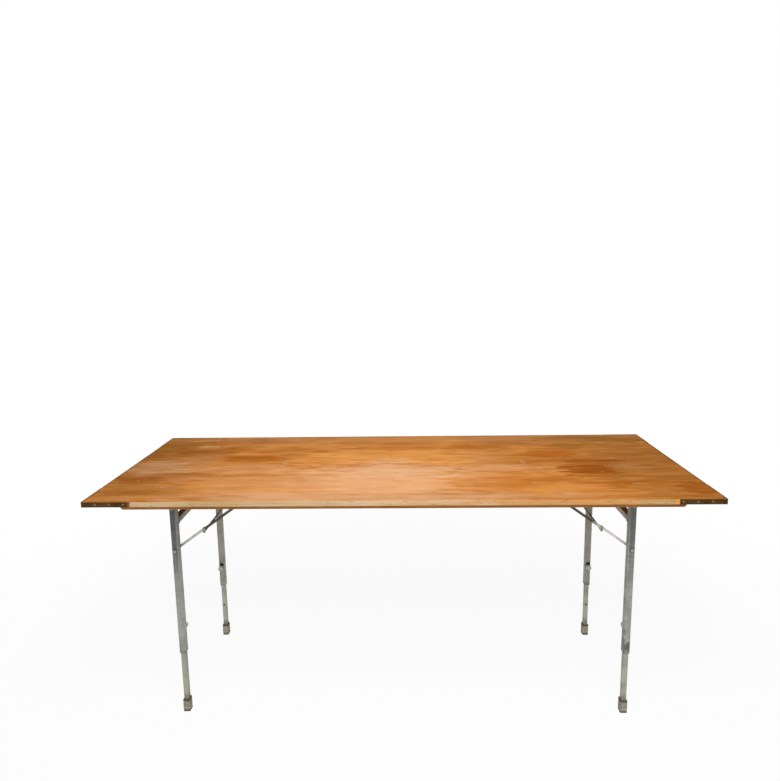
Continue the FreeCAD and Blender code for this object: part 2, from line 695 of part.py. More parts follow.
def link(name, length, face, sy, start_bore, end_bore, lug=None):
    """A flat bar along its own X with an eye at each end; face is how far out its outer side lies."""
    start_y = f"{sy} * ({face})"
    inward = (0, -sy, 0)
    parts = [block(f"{name}_bar", (length, "dims.link_thick", "dims.link_wide"),
                   (f"{length} / 2", f"{sy} * ({face} - dims.link_thick / 2)", "0"))]
    spots = [("0", "0", "dims.link_eye_radius", start_bore), (length, "0", "dims.link_eye_radius", end_bore)]
    if lug:
        spots.append(lug)
    bores = []
    for number, (spot_x, spot_z, radius, bore) in enumerate(spots):
        spot = (spot_x, start_y, spot_z)
        parts.append(rod(f"{name}_eye_{number}", radius, "dims.link_thick", spot, inward))
        bores.append(rod(f"{name}_bore_{number}", f"{bore} + dims.pin_gap", "dims.link_thick", spot, inward))
    return cut(name, fuse(f"{name}_blank", parts), bores)


def rivet(name, x, start, length, axis):
    """Half of a middle-joint rivet: a shank in one link and a head on that link's free side."""
    shank = rod(f"{name}_shank", "dims.rivet_radius", length, (x, start, "0"), axis)
    head_start = f"{start} + {axis[1]} * {length}"
    head = cone(f"{name}_head", "dims.rivet_head_radius", f"dims.rivet_head_radius * {head_taper}",
                "dims.rivet_head_high", (x, head_start, "0"), axis)
    return fuse(name, [shank, head])


def make_stays(side):
    """The folding stays of one leg frame: a link pair above and below the middle joint."""
    sx = sides[side]
    upper_links = []
    upper_rivets = []
    lower_links = []
    lower_rivets = []
    bar_x = "(dims.stay_lower_long - dims.bar_back)"
    bar_z = f"{sx} * dims.bar_drop"
    lug = (bar_x, bar_z, "dims.bar_lug_radius", "dims.bar_radius")
    for end, sy in ends.items():
        name = f"{end}_{side}_stay"
        upper_links.append(link(f"{name}_upper_link", stay_upper_long, upper_link_face, sy,
                                "dims.stay_pin_radius", "dims.rivet_radius"))
        lower_links.append(link(f"{name}_lower_link", "dims.stay_lower_long", lower_link_face, sy,
                                "dims.stay_bolt_radius", "dims.rivet_radius", lug))
        upper_rivets.append(rivet(f"{name}_upper_rivet", stay_upper_long,
                                  f"{sy} * ({upper_link_face} - dims.link_thick)", "dims.link_thick",
                                  (0, sy, 0)))
        lower_rivets.append(rivet(f"{name}_lower_rivet", "dims.stay_lower_long",
                                  f"{sy} * {lower_link_face}", "dims.link_thick", (0, -sy, 0)))
    bar = rod(f"{side}_release_rod", "dims.bar_radius", f"2 * {lower_link_face}",
              (bar_x, f"-{lower_link_face}", bar_z), (0, 1, 0))
    at_pin = (f"{sx} * {stay_pin_across}", stay_pin_height, f"-{stay_rise}", f"{sx} * dims.stay_reach")
    at_bolt = (f"{sx} * {leg_across}", stay_bolt_height, stay_rise, f"{-sx} * dims.stay_reach")
    for kind, pieces, pivot in (("stay_upper_links", upper_links, at_pin),
                                ("stay_upper_rivets", upper_rivets, at_pin),
                                ("stay_lower_links", lower_links, at_bolt),
                                ("stay_lower_rivets", lower_rivets, at_bolt),
                                ("release_bar", [bar], at_bolt)):
        whole = group(f"{side}_{kind}_group", pieces)
        tilt(whole, *pivot)
        keep(whole, f"{side}_{kind}")


slab = rounded_block("top_slab", "dims.top_length", "dims.top_width", "dims.top_thick", "dims.guard_radius")
place(slab, z=top_under)
straps, guard_holes = make_corner_guards(slab)
bracket_screws = []
hinge_screw_holes = make_hinge_brackets(bracket_screws)
stay_screw_holes = make_stay_brackets(bracket_screws)
keep(group("bracket_screw_group", bracket_screws), "bracket_screws")
batten_holes = make_battens(hinge_screw_holes)
recessed = cut("recessed_top", slab, straps)
keep(cut("top_body", recessed, guard_holes + stay_screw_holes + batten_holes), "plywood_top")
for side in sides:
    make_leg_frame(side)
    make_stays(side)
for end, side in corners:
    make_lower_leg(end, side)
doc.recompute()

failed = [piece.Name for piece in doc.Objects if {"Invalid", "Error"} & set(piece.State)]
failed += [piece.Label for piece in nodes if piece.Shape.isNull() or not piece.Shape.isValid()]
if failed:
    raise RuntimeError(f"these pieces failed: {failed}")
for piece in nodes:
    piece.Shape.exportStep(f"parts/{piece.Label}.step")
print(len(nodes), "sub-parts,", sum(len(piece.Shape.Solids) for piece in nodes), "solids")
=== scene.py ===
import json
import math
import bpy
from mathutils import Matrix, Vector


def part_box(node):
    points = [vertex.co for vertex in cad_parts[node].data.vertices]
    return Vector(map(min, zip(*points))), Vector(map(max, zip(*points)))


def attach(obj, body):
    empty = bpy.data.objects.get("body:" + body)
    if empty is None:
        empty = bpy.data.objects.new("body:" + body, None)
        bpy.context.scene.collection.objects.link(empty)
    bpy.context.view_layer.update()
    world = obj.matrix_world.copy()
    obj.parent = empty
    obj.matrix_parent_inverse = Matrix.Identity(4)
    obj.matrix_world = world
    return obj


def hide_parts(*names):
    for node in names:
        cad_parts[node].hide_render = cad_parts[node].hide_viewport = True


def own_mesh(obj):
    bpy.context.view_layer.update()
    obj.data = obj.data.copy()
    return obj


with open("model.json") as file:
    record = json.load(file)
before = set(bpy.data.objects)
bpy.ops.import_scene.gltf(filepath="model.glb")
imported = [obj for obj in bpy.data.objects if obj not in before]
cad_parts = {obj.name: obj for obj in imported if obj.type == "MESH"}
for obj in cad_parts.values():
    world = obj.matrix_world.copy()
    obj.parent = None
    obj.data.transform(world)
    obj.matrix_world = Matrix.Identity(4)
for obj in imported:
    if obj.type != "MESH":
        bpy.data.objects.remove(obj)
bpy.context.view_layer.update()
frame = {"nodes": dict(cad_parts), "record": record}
nodes = frame["nodes"]
record = frame["record"]
bodyOf = {node: body for body, members in record["behaviour"]["bodies"].items() for node in members}
slotOf = {row["node"]: row["material_slot"] for row in record["subparts"]}
sides = {"left": -1, "right": 1}
ends = {"front": -1, "back": 1}
print("frame loaded with", len(nodes), "nodes")


def middleOf(node):
    low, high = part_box(node)
    return (low + high) / 2


# small shader helpers
def paint(red, green, blue):
    # a colour as it is seen on screen, 0 to 255, turned into the linear values that a shader takes
    parts = [c / 255 for c in (red, green, blue)]
    return tuple(c / 12.92 if c < 0.04045 else ((c + 0.055) / 1.055) ** 2.4 for c in parts) + (1.0,)


def addNode(tree, kind, inputs=None, **settings):
    made = tree.nodes.new("ShaderNode" + kind)
    for name, value in settings.items():
        setattr(made, name, value)
    for name, value in (inputs or {}).items():
        if isinstance(value, bpy.types.NodeSocket):
            tree.links.new(value, made.inputs[name])
        else:
            made.inputs[name].default_value = value
    return made


def maths(tree, operation, first, second=0.0):
    return addNode(tree, "Math", {0: first, 1: second}, operation=operation).outputs[0]


def times(tree, first, second):
    return maths(tree, "MULTIPLY", first, second)


def vectorMaths(tree, operation, first, second):
    return addNode(tree, "VectorMath", {0: first, 1: second}, operation=operation).outputs[0]


def lengthOf(tree, vector):
    return addNode(tree, "VectorMath", {0: vector}, operation="LENGTH").outputs["Value"]


def mixColour(tree, factor, first, second, blend="MIX"):
    made = addNode(tree, "Mix", {0: factor, 6: first, 7: second}, data_type="RGBA", blend_type=blend)
    return made.outputs[2]


def layTint(tree, mask, strong, colour, tint, blend="MIX"):
    # a tint over a colour, where the mask is one
    return mixColour(tree, times(tree, mask, strong), colour, tint, blend)


def fade(tree, value, start, end, low=0.0, high=1.0):
    # goes smoothly from low to high as the value goes from start to end
    made = addNode(tree, "MapRange", {"Value": value, "From Min": start, "From Max": end,
                                      "To Min": low, "To Max": high}, interpolation_type="SMOOTHSTEP")
    return made.outputs[0]


def noise(tree, where, scale=1.0, detail=3.0, rough=0.5, warp=0.0):
    made = addNode(tree, "TexNoise", {"Vector": where, "Scale": scale, "Detail": detail,
                                      "Roughness": rough, "Distortion": warp})
    return made.outputs[0]


def stretch(tree, where, scale, turn=(0.0, 0.0, 0.0)):
    return addNode(tree, "Mapping", {"Vector": where, "Rotation": turn, "Scale": scale}).outputs[0]


def tearing(tree, where, scale, amount):
    # noise about zero that makes the rim of a spot ragged
    torn = noise(tree, stretch(tree, where, scale), detail=5.0, rough=0.6)
    return times(tree, maths(tree, "SUBTRACT", torn, 0.5), amount)


def newGroup(name, inputs, outputs):
    group = bpy.data.node_groups.new(name, "ShaderNodeTree")
    for label, value in inputs.items():
        kind = "NodeSocketVector" if isinstance(value, tuple) else "NodeSocketFloat"
        group.interface.new_socket(label, in_out="INPUT", socket_type=kind).default_value = value
    for label in outputs:
        group.interface.new_socket(label, in_out="OUTPUT", socket_type="NodeSocketFloat")
    start = group.nodes.new("NodeGroupInput")
    end = group.nodes.new("NodeGroupOutput")
    return group, start.outputs, end.inputs


def useGroup(tree, group, **inputs):
    return addNode(tree, "Group", inputs, node_tree=group).outputs


def newMaterial(name, specular, metal=0.0, rough=0.5):
    # a Principled material with the values that are the same all over
    material = bpy.data.materials.new(name)
    material.use_nodes = True
    tree = material.node_tree
    shader = tree.nodes["Principled BSDF"]
    shader.inputs["Specular IOR Level"].default_value = specular
    shader.inputs["Metallic"].default_value = metal
    shader.inputs["Roughness"].default_value = rough
    where = addNode(tree, "TexCoord").outputs["Object"]
    return material, tree, shader, where


def finishMaterial(tree, shader, colour, rough, height, bumpDeep, bumpStrong):
    tree.links.new(colour, shader.inputs["Base Color"])
    if rough is not None:
        tree.links.new(rough, shader.inputs["Roughness"])
    bump = addNode(tree, "Bump", {"Height": height, "Distance": bumpDeep, "Strength": bumpStrong})
    tree.links.new(bump.outputs[0], shader.inputs["Normal"])


# patterns of the wood: stretch, noise scale, detail, roughness, warp, and the values it fades in between
grainPatterns = {
    "clouds": ((4.2, 0.95, 0.95), 1.0, 5.0, 0.62, 0.9, (0.32, 0.68)),
    "patches": ((9.0, 2.6, 2.6), 1.0, 6.0, 0.66, 1.4, (0.38, 0.62)),
    "figure": ((1.0, 1.0, 1.0), 1.3, 3.0, 0.55, 0.9, (0.32, 0.68)),
    "streaks": ((1.5, 1.0, 1.0), 4.5, 6.0, 0.68, 0.5, (0.34, 0.70)),
    "lines": ((3.2, 14.0, 14.0), 1.0, 3.0, 0.55, 0.4, (0.53, 0.63)),
    "pores": ((2.4, 12.0, 12.0), 7.0, 3.0, 0.6, 0.0, (0.56, 0.74)),
}


def makeWoodGrain():
    group, given, out = newGroup("woodGrain", {"where": (0, 0, 0), "grain": (1, 12, 12)}, grainPatterns)
    along = vectorMaths(group, "MULTIPLY", given["where"], given["grain"])
    for name, (long, scale, detail, rough, warp, shown) in grainPatterns.items():
        pattern = noise(group, stretch(group, along, long), scale, detail, rough, warp)
        group.links.new(fade(group, pattern, *shown), out[name])
    return group


# crossing scratches in patches, and rare flecks
scuffPattern = {"patchScale": 5.0, "patchFade": (0.50, 0.66), "lineTurns": (0.35, 1.2, 2.3),
                "lineStretch": (5.0, 190.0, 40.0), "lineFade": (0.70, 0.76),
                "fleckScale": 95.0, "fleckFade": (0.30, 0.16), "fleckRare": (0.975, 0.990)}


def makeScuffs():
    s = scuffPattern
    group, given, out = newGroup("scuffs", {"where": (0, 0, 0), "size": 1.0}, ["scratches", "flecks"])
    scaled = {0: given["where"], "Scale": given["size"]}
    where = addNode(group, "VectorMath", scaled, operation="SCALE").outputs[0]
    patches = fade(group, noise(group, where, s["patchScale"], detail=2.0), *s["patchFade"])
    lines = 0.0
    for turn in s["lineTurns"]:
        turned = stretch(group, where, s["lineStretch"], (0.0, 0.0, turn))
        fine = noise(group, turned, detail=2.0, rough=0.4)
        lines = maths(group, "MAXIMUM", fade(group, fine, *s["lineFade"]), lines)
    cells = addNode(group, "TexVoronoi", {"Vector": where, "Scale": s["fleckScale"]}).outputs
    dots = fade(group, cells["Distance"], *s["fleckFade"])
    chosen = addNode(group, "SeparateColor", {"Color": cells["Color"]}).outputs[0]
    group.links.new(times(group, lines, patches), out["scratches"])
    group.links.new(times(group, dots, fade(group, chosen, *s["fleckRare"])), out["flecks"])
    return group


# the film on metal: spangled crystals, blotches, drawing lines and grit
patinaPattern = {"drawnStretch": (420.0, 420.0, 6.0), "drawnFade": (0.35, 0.65), "blotchScale": 22.0,
                 "blotchFade": (0.36, 0.66), "gritScale": 260.0, "gritFade": (0.56, 0.70)}


def makePatina():
    s = patinaPattern
    group, given, out = newGroup("patina", {"where": (0, 0, 0), "crystals": 160.0},
                                 ["spangle", "blotches", "drawn", "grit"])
    where = given["where"]
    cells = addNode(group, "TexVoronoi", {"Vector": where, "Scale": given["crystals"]}).outputs
    blotches = noise(group, where, s["blotchScale"], detail=5.0, rough=0.62)
    drawn = noise(group, stretch(group, where, s["drawnStretch"]))
    grit = noise(group, where, s["gritScale"], rough=0.6)
    group.links.new(addNode(group, "SeparateColor", {"Color": cells["Color"]}).outputs[0], out["spangle"])
    group.links.new(fade(group, blotches, *s["blotchFade"]), out["blotches"])
    group.links.new(fade(group, drawn, *s["drawnFade"]), out["drawn"])
    group.links.new(fade(group, grit, *s["gritFade"]), out["grit"])
    return group


# how spots and bands fade out, in shares of their reach, and how fine a band's ragged edge is
maskRim = {"spot": (1.2, 0.45), "band": (1.0, 0.2), "raggedScale": 60.0}


def makeSoftSpot():
    # one inside an ellipsoid, fading out to its rim; torn moves the rim in and out
    group, given, out = newGroup("softSpot", {"where": (0, 0, 0), "centre": (0, 0, 0), "reach": (1, 1, 1),
                                              "torn": 0.0}, ["mask"])
    off = vectorMaths(group, "SUBTRACT", given["where"], given["centre"])
    distance = lengthOf(group, vectorMaths(group, "DIVIDE", off, given["reach"]))
    moved = maths(group, "ADD", distance, given["torn"])
    group.links.new(fade(group, moved, *maskRim["spot"]), out["mask"])
    return group


def makeBand():
    # one where a value is at the centre, fading out at the reach; the edge is ragged
    group, given, out = newGroup("band", {"value": 0.0, "centre": 0.0, "reach": 1.0, "where": (0, 0, 0),
                                          "ragged": 0.0}, ["mask"])
    torn = maths(group, "SUBTRACT", noise(group, given["where"], maskRim["raggedScale"]), 0.5)
    moved = maths(group, "ADD", given["value"], times(group, torn, given["ragged"]))
    off = maths(group, "ABSOLUTE", maths(group, "SUBTRACT", moved, given["centre"]))
    share = maths(group, "DIVIDE", off, given["reach"])
    group.links.new(fade(group, share, *maskRim["band"]), out["mask"])
    return group


woodGrain = makeWoodGrain()
scuffs = makeScuffs()
patina = makePatina()
softSpot = makeSoftSpot()
band = makeBand()
print("shared effects ready")


# oiled and worn top face of the plywood
topFace = {
    "specular": 0.03, "rough": (0.70, 0.88), "roughFull": 1.6, "bump": (0.0003, 0.35),
    "grain": (0.85, 13.0, 13.0),
    "honey": paint(217, 145, 73),
    "amber": paint(195, 120, 49),
    "tints": {
        # worn and bare: wear, and also a painted sheen on the middle-front of the top
        "bare": paint(246, 196, 154),
        "worn": paint(236, 176, 126),
        "faded": paint(214, 162, 120),
        # glow: painted light, lightening the middle of the top
        "glow": paint(250, 172, 94),
        "amber": paint(190, 106, 22),
        "stain": paint(162, 84, 8),
        "olive": paint(138, 92, 18),
        "mauve": paint(180, 118, 74),
        # dull: deeper varnish at the two ends, and also painted shade where the light falls off there
        "dull": paint(172, 113, 50),
        # haze: a painted sheen along the back edge
        "haze": paint(206, 152, 106)},
    # tones laid over the wood one after the other: tint, centre, reach and how strong; glow and haze are
    # painted light and sheen, and worn, bare and dull are partly painted sheen and shade, as noted at the
    # tints
    "spots": [
        ("haze", 0.0, 0.350, 1.10, 0.085, 0.45), ("worn", 0.27, -0.02, 0.11, 0.30, 0.22),
        ("dull", 0.84, -0.05, 0.26, 0.40, 0.70), ("dull", -0.86, -0.02, 0.25, 0.40, 0.70),
        ("olive", -0.88, 0.27, 0.10, 0.16, 0.25), ("mauve", -0.60, 0.320, 0.14, 0.035, 0.45),
        ("mauve", 0.43, 0.29, 0.16, 0.07, 0.30), ("olive", 0.73, 0.31, 0.21, 0.07, 0.50),
        ("olive", 0.60, 0.215, 0.08, 0.04, 0.55), ("faded", -0.82, -0.04, 0.11, 0.10, 0.70),
        ("worn", -0.52, -0.06, 0.30, 0.06, 0.42), ("worn", -0.36, -0.23, 0.36, 0.15, 0.38),
        ("worn", -0.06, -0.19, 0.32, 0.23, 0.68), ("faded", -0.10, -0.350, 0.70, 0.055, 0.80),
        ("glow", -0.30, 0.235, 0.22, 0.05, 0.50), ("glow", 0.05, 0.330, 0.48, 0.040, 0.35),
        ("glow", -0.50, 0.130, 0.10, 0.03, 0.40), ("glow", 0.42, 0.135, 0.08, 0.040, 0.35),
        ("glow", -0.25, 0.04, 0.15, 0.10, 0.45), ("glow", -0.02, 0.11, 0.32, 0.13, 0.60),
        ("glow", 0.14, 0.005, 0.10, 0.045, 0.60), ("worn", 0.36, -0.065, 0.17, 0.04, 0.50),
        ("bare", -0.05, 0.03, 0.08, 0.04, 0.35), ("bare", -0.02, -0.085, 0.26, 0.09, 0.45),
        ("bare", -0.04, -0.20, 0.20, 0.13, 0.22), ("dull", -0.76, -0.275, 0.16, 0.06, 0.50),
        ("dull", 0.80, -0.355, 0.15, 0.035, 0.45), ("amber", 0.04, 0.195, 0.16, 0.035, 0.45),
        ("amber", -0.53, 0.065, 0.14, 0.050, 0.58), ("stain", -0.74, 0.155, 0.16, 0.030, 0.38),
        ("amber", -0.60, 0.190, 0.07, 0.022, 0.60), ("stain", -0.80, -0.172, 0.12, 0.042, 0.45),
        ("amber", 0.52, 0.110, 0.11, 0.055, 0.75), ("amber", 0.25, 0.200, 0.11, 0.040, 0.65),
        ("amber", 0.34, -0.210, 0.17, 0.070, 0.38), ("amber", 0.72, -0.235, 0.15, 0.035, 0.50),
        ("stain", 0.63, 0.000, 0.09, 0.060, 0.45), ("stain", 0.61, -0.090, 0.10, 0.075, 0.85),
        ("stain", 0.88, -0.280, 0.07, 0.070, 0.65), ("worn", -0.69, 0.06, 0.09, 0.10, 0.20),
        ("worn", -0.70, -0.160, 0.07, 0.050, 0.22), ("faded", 0.75, -0.06, 0.08, 0.04, 0.25),
        ("haze", 0.33, 0.340, 0.14, 0.040, 0.35), ("dull", 0.43, -0.365, 0.12, 0.03, 0.35)],
    "spotTorn": ((9.0, 42.0, 42.0), 2.2),
    "sharpTints": ("amber", "stain"), "sharpFade": (0.15, 0.75), "wornTints": ("worn", "bare"),
    # dark grain: less on the worn middle, more towards the ends of the top
    "patchShade": (0.79, 0.71, 0.53, 1.0), "patchStrong": (0.50, 0.20),
    "streakShade": (0.74, 0.65, 0.48, 1.0), "streakStrong": (0.50, 0.25), "lineStrong": 0.42,
    "poreShade": (0.74, 0.64, 0.50, 1.0),
    "grainWorn": 0.45, "grainEnds": (0.40, 0.75), "grainMore": 1.7,
    # scratches, and old paint and glue marks: centre and reach
    "scuff": paint(200, 184, 144), "scuffSize": 0.8, "scratchStrong": 0.20, "fleckStrong": 0.70,
    "marks": [(-0.730, 0.236, 0.046, 0.022), (-0.738, -0.245, 0.020, 0.008), (0.409, 0.002, 0.010, 0.038),
              (0.729, -0.236, 0.030, 0.008), (0.735, 0.250, 0.020, 0.009), (0.891, 0.251, 0.010, 0.008),
              (-0.227, -0.216, 0.007, 0.012), (0.018, -0.221, 0.010, 0.010), (-0.716, 0.350, 0.006, 0.028),
              (-0.395, 0.000, 0.011, 0.040)],
    "markTorn": ((60.0, 60.0, 60.0), 1.6), "markStrong": 0.60,
    "speckStretch": (55.0, 80.0, 75.0), "speckFade": (0.34, 0.68),
    # grime and painted shade along the rim, but not at the front
    "rimTint": paint(98, 66, 26), "rimWide": 0.011, "rimStrong": 0.75,
    "rimTorn": ((26.0, 26.0, 26.0), 0.0198),
}


def makeTopFace():
    s = topFace
    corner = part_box("plywood_top")[1]
    material, tree, shader, where = newMaterial("plywoodFace", s["specular"])
    grain = useGroup(tree, woodGrain, where=where, grain=s["grain"])

    def spotMask(x, y, long, wide, torn):
        return useGroup(tree, softSpot, where=where, centre=(x, y, corner.z), reach=(long, wide, 1.0),
                        torn=torn)["mask"]

    colour = mixColour(tree, grain["clouds"], s["amber"], s["honey"])
    torn = tearing(tree, where, *s["spotTorn"])
    wearAndSheen = 0.0
    for tint, *place, strong in s["spots"]:
        mask = spotMask(*place, torn)
        if tint in s["sharpTints"]:
            mask = fade(tree, mask, *s["sharpFade"])
        colour = layTint(tree, mask, strong, colour, s["tints"][tint])
        if tint in s["wornTints"]:
            wearAndSheen = maths(tree, "MAXIMUM", mask, wearAndSheen)
    at = addNode(tree, "SeparateXYZ", {0: where}).outputs
    fromMiddle = maths(tree, "ABSOLUTE", at[0])
    atEnds = fade(tree, fromMiddle, *s["grainEnds"], 1.0, s["grainMore"])
    kept = times(tree, fade(tree, wearAndSheen, 0.0, 1.0, 1.0, s["grainWorn"]), atEnds)
    mottled = times(tree, grain["patches"], fade(tree, grain["clouds"], 0.0, 1.0, *s["patchStrong"]))
    colour = layTint(tree, mottled, atEnds, colour, s["patchShade"], "MULTIPLY")
    dark = times(tree, grain["streaks"], fade(tree, grain["clouds"], 0.0, 1.0, *s["streakStrong"]))
    colour = layTint(tree, dark, kept, colour, s["streakShade"], "MULTIPLY")
    drawn = times(tree, grain["lines"], kept)
    colour = layTint(tree, drawn, s["lineStrong"], colour, s["streakShade"], "MULTIPLY")
    colour = mixColour(tree, grain["pores"], colour, s["poreShade"], "MULTIPLY")
    scuffed = useGroup(tree, scuffs, where=where, size=s["scuffSize"])
    light = maths(tree, "MAXIMUM", times(tree, scuffed["scratches"], s["scratchStrong"]),
                  times(tree, scuffed["flecks"], s["fleckStrong"]))
    chipped = tearing(tree, where, *s["markTorn"])
    dotted = noise(tree, stretch(tree, where, s["speckStretch"]), detail=4.0, rough=0.65)
    specks = fade(tree, dotted, *s["speckFade"])
    for place in s["marks"]:
        flaked = times(tree, times(tree, spotMask(*place, chipped), specks), s["markStrong"])
        light = maths(tree, "MAXIMUM", light, flaked)
    colour = mixColour(tree, light, colour, s["scuff"])
    ragged = tearing(tree, where, *s["rimTorn"])
    # a dark rim along the back edge and both ends: grime, and a painted shade line at the edge
    for along, edge in ((fromMiddle, corner.x), (at[1], corner.y)):
        near = fade(tree, maths(tree, "ADD", along, ragged), edge - s["rimWide"], edge)
        colour = layTint(tree, near, s["rimStrong"], colour, s["rimTint"])
    rough = fade(tree, maths(tree, "ADD", grain["streaks"], wearAndSheen), 0.0, s["roughFull"], *s["rough"])
    finishMaterial(tree, shader, colour, rough, grain["streaks"], *s["bump"])
    return material


# bare edge of the plywood, with its layers, and rust or fresh wood beside the corner guards
guardRecess = {"reach": 0.132, "deep": 0.002}
topEdge = {
    "specular": 0.12, "rough": 0.75, "bump": (0.0004, 0.5), "grain": (3.0, 3.0, 150.0),
    "cream": paint(192, 168, 131), "tan": paint(196, 142, 84), "tanSpread": 0.5, "tanFade": (0.0, 0.7),
    # rubbed patches: tint, noise scale and between which values they fade in
    "patches": [(paint(172, 146, 98), 4.0, (0.50, 0.62)), (paint(203, 179, 145), 6.5, (0.56, 0.68))],
    "patchFlat": 60.0, "patchStrong": 0.7,
    "plies": 5, "plyLine": paint(140, 98, 50), "lineWide": 0.16, "lineStrong": 0.55, "streakStrong": 0.35,
    "chipStretch": (14.0, 60.0, 90.0), "chipScale": 3.0, "chipFade": (0.60, 0.70), "chipStrong": 0.55,
    "rust": paint(110, 48, 2), "fresh": paint(228, 146, 74), "sideFade": (-0.1, 0.1),
    "rustReach": 0.013, "rustFull": 0.0078, "rustTorn": ((120.0, 120.0, 260.0), 0.012), "rustStrong": 0.92,
}


def makeTopEdge():
    s = topEdge
    low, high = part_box("plywood_top")
    material, tree, shader, where = newMaterial("plywoodEdge", s["specular"], rough=s["rough"])
    at = addNode(tree, "SeparateXYZ", {0: where}).outputs
    grain = useGroup(tree, woodGrain, where=where, grain=s["grain"])
    along = maths(tree, "ADD", at[0], times(tree, grain["figure"], s["tanSpread"]))
    colour = mixColour(tree, fade(tree, along, *s["tanFade"]), s["cream"], s["tan"])
    for tint, scale, shown in s["patches"]:
        rubbed = noise(tree, stretch(tree, where, (scale, scale, s["patchFlat"])), detail=4.0)
        colour = layTint(tree, fade(tree, rubbed, *shown), s["patchStrong"], colour, tint)
    layer = times(tree, maths(tree, "SUBTRACT", at[2], low.z), s["plies"] / (high.z - low.z))
    line = fade(tree, maths(tree, "FRACT", layer), 1.0 - s["lineWide"], 1.0)
    colour = layTint(tree, line, s["lineStrong"], colour, s["plyLine"])
    colour = layTint(tree, grain["streaks"], s["streakStrong"], colour, s["tan"])
    chips = noise(tree, stretch(tree, where, s["chipStretch"]), s["chipScale"], detail=4.0)
    colour = layTint(tree, fade(tree, chips, *s["chipFade"]), s["chipStrong"], colour, s["plyLine"])
    torn = tearing(tree, where, *s["rustTorn"])
    nearGuard = 1.0
    for axis in (0, 1):
        guardEnd = high[axis] - guardRecess["reach"]
        outwards = maths(tree, "ADD", maths(tree, "ABSOLUTE", at[axis]), torn)
        reached = fade(tree, outwards, guardEnd - s["rustReach"], guardEnd - s["rustFull"])
        nearGuard = maths(tree, "MINIMUM", reached, nearGuard)
    guardTint = mixColour(tree, fade(tree, at[0], *s["sideFade"]), s["rust"], s["fresh"])
    colour = layTint(tree, nearGuard, s["rustStrong"], colour, guardTint)
    finishMaterial(tree, shader, colour, None, grain["streaks"], *s["bump"])
    return material


# plain sawn wood: the underside of the top and the battens
sawnWood = {"specular": 0.15, "rough": (0.55, 0.75), "bump": (0.0004, 0.5), "clouds": 0.25, "pores": 0.30}


def makeSawnWood(name, base, dark, grainAlong, streaks=0.5):
    s = sawnWood
    material, tree, shader, where = newMaterial(name, s["specular"])
    grain = useGroup(tree, woodGrain, where=where, grain=grainAlong)
    colour = layTint(tree, grain["streaks"], streaks, base, dark)
    for pattern in ("clouds", "pores"):
        colour = layTint(tree, grain[pattern], s[pattern], colour, dark)
    rough = fade(tree, grain["streaks"], 0.0, 1.0, *s["rough"])
    finishMaterial(tree, shader, colour, rough, grain["streaks"], *s["bump"])
    return material


# dark painted steel of the corner guards, worn to rust and bare metal
guardFinish = {"paint": paint(62, 42, 16), "worn": paint(92, 66, 32), "rust": paint(104, 52, 10),
               "bare": paint(122, 108, 86), "wornStrong": 0.6, "rustStrong": 0.5, "bareStrong": 0.6,
               "specular": 0.06, "metal": 0.1, "rough": (0.45, 0.68), "bump": (0.0002, 0.5),
               "crystals": 90.0, "scuffSize": 3.0}


def makeGuardFinish():
    s = guardFinish
    material, tree, shader, where = newMaterial("guardSteel", s["specular"], s["metal"])
    film = useGroup(tree, patina, where=where, crystals=s["crystals"])
    scuffed = useGroup(tree, scuffs, where=where, size=s["scuffSize"])
    colour = layTint(tree, film["blotches"], s["wornStrong"], s["paint"], s["worn"])
    colour = layTint(tree, film["grit"], s["rustStrong"], colour, s["rust"])
    colour = layTint(tree, scuffed["scratches"], s["bareStrong"], colour, s["bare"])
    rough = fade(tree, film["blotches"], 0.0, 1.0, *s["rough"])
    finishMaterial(tree, shader, colour, rough, film["grit"], *s["bump"])
    return material


# zinc finishes: galvanised tube, plated fittings; how strong each part of the film shows
zincFinish = {"spangle": 0.55, "drawn": 0.18, "blotches": 0.30, "grit": 0.30, "scratches": 0.55,
              "dirt": paint(96, 92, 80), "pit": paint(70, 66, 54), "pitSize": 1.2, "scuffSize": 4.0,
              "specular": 0.35, "bump": (0.00015, 0.4), "spotTorn": ((90.0, 90.0, 60.0), 0.8)}


def makeZinc(name, base, pale, dirt=zincFinish["dirt"], crystals=160.0, metal=0.35,
             rough=(0.40, 0.60), pits=0.0, stainsAndLight=()):
    s = zincFinish
    material, tree, shader, where = newMaterial(name, s["specular"], metal)
    film = useGroup(tree, patina, where=where, crystals=crystals)
    colour = layTint(tree, film["spangle"], s["spangle"], base, pale)
    for pattern in ("drawn", "blotches", "grit"):
        colour = layTint(tree, film[pattern], s[pattern], colour, dirt)
    scratches = useGroup(tree, scuffs, where=where, size=s["scuffSize"])["scratches"]
    colour = layTint(tree, scratches, s["scratches"], colour, pale)
    if pits:
        flecks = useGroup(tree, scuffs, where=where, size=s["pitSize"])["flecks"]
        colour = layTint(tree, flecks, pits, colour, s["pit"])
    for stain in stainsAndLight:
        colour = stain(tree, where, colour)
    gloss = fade(tree, film["blotches"], 0.0, 1.0, *rough)
    finishMaterial(tree, shader, colour, gloss, film["grit"], *s["bump"])
    return material


def heightStainAndLight(centre, reach, tint, strong, ragged=0.02):
    # a tinted ring at one height, for dirt and also for painted shade, highlights and reflections
    def stain(tree, where, colour):
        height = addNode(tree, "SeparateXYZ", {0: where}).outputs[2]
        ring = useGroup(tree, band, value=height, centre=centre, reach=reach, where=where, ragged=ragged)
        return layTint(tree, ring["mask"], strong, colour, tint)
    return stain


def spotStainAndLight(centre, reach, tint, strong):
    # a ragged spot about one place
    def stain(tree, where, colour):
        torn = tearing(tree, where, *zincFinish["spotTorn"])
        spot = useGroup(tree, softSpot, where=where, centre=centre, reach=reach, torn=torn)
        return layTint(tree, spot["mask"], strong, colour, tint)
    return stain


# grime and painted shade round the stay bolts, and painted shade over the sight holes above the plunger
# housings, on the leg tubes
grimeAndShade = {"tint": paint(50, 46, 38), "strong": 0.80, "boltReach": 0.0085, "housingReach": 0.0125,
         "deep": 0.003, "holeLift": 0.006}


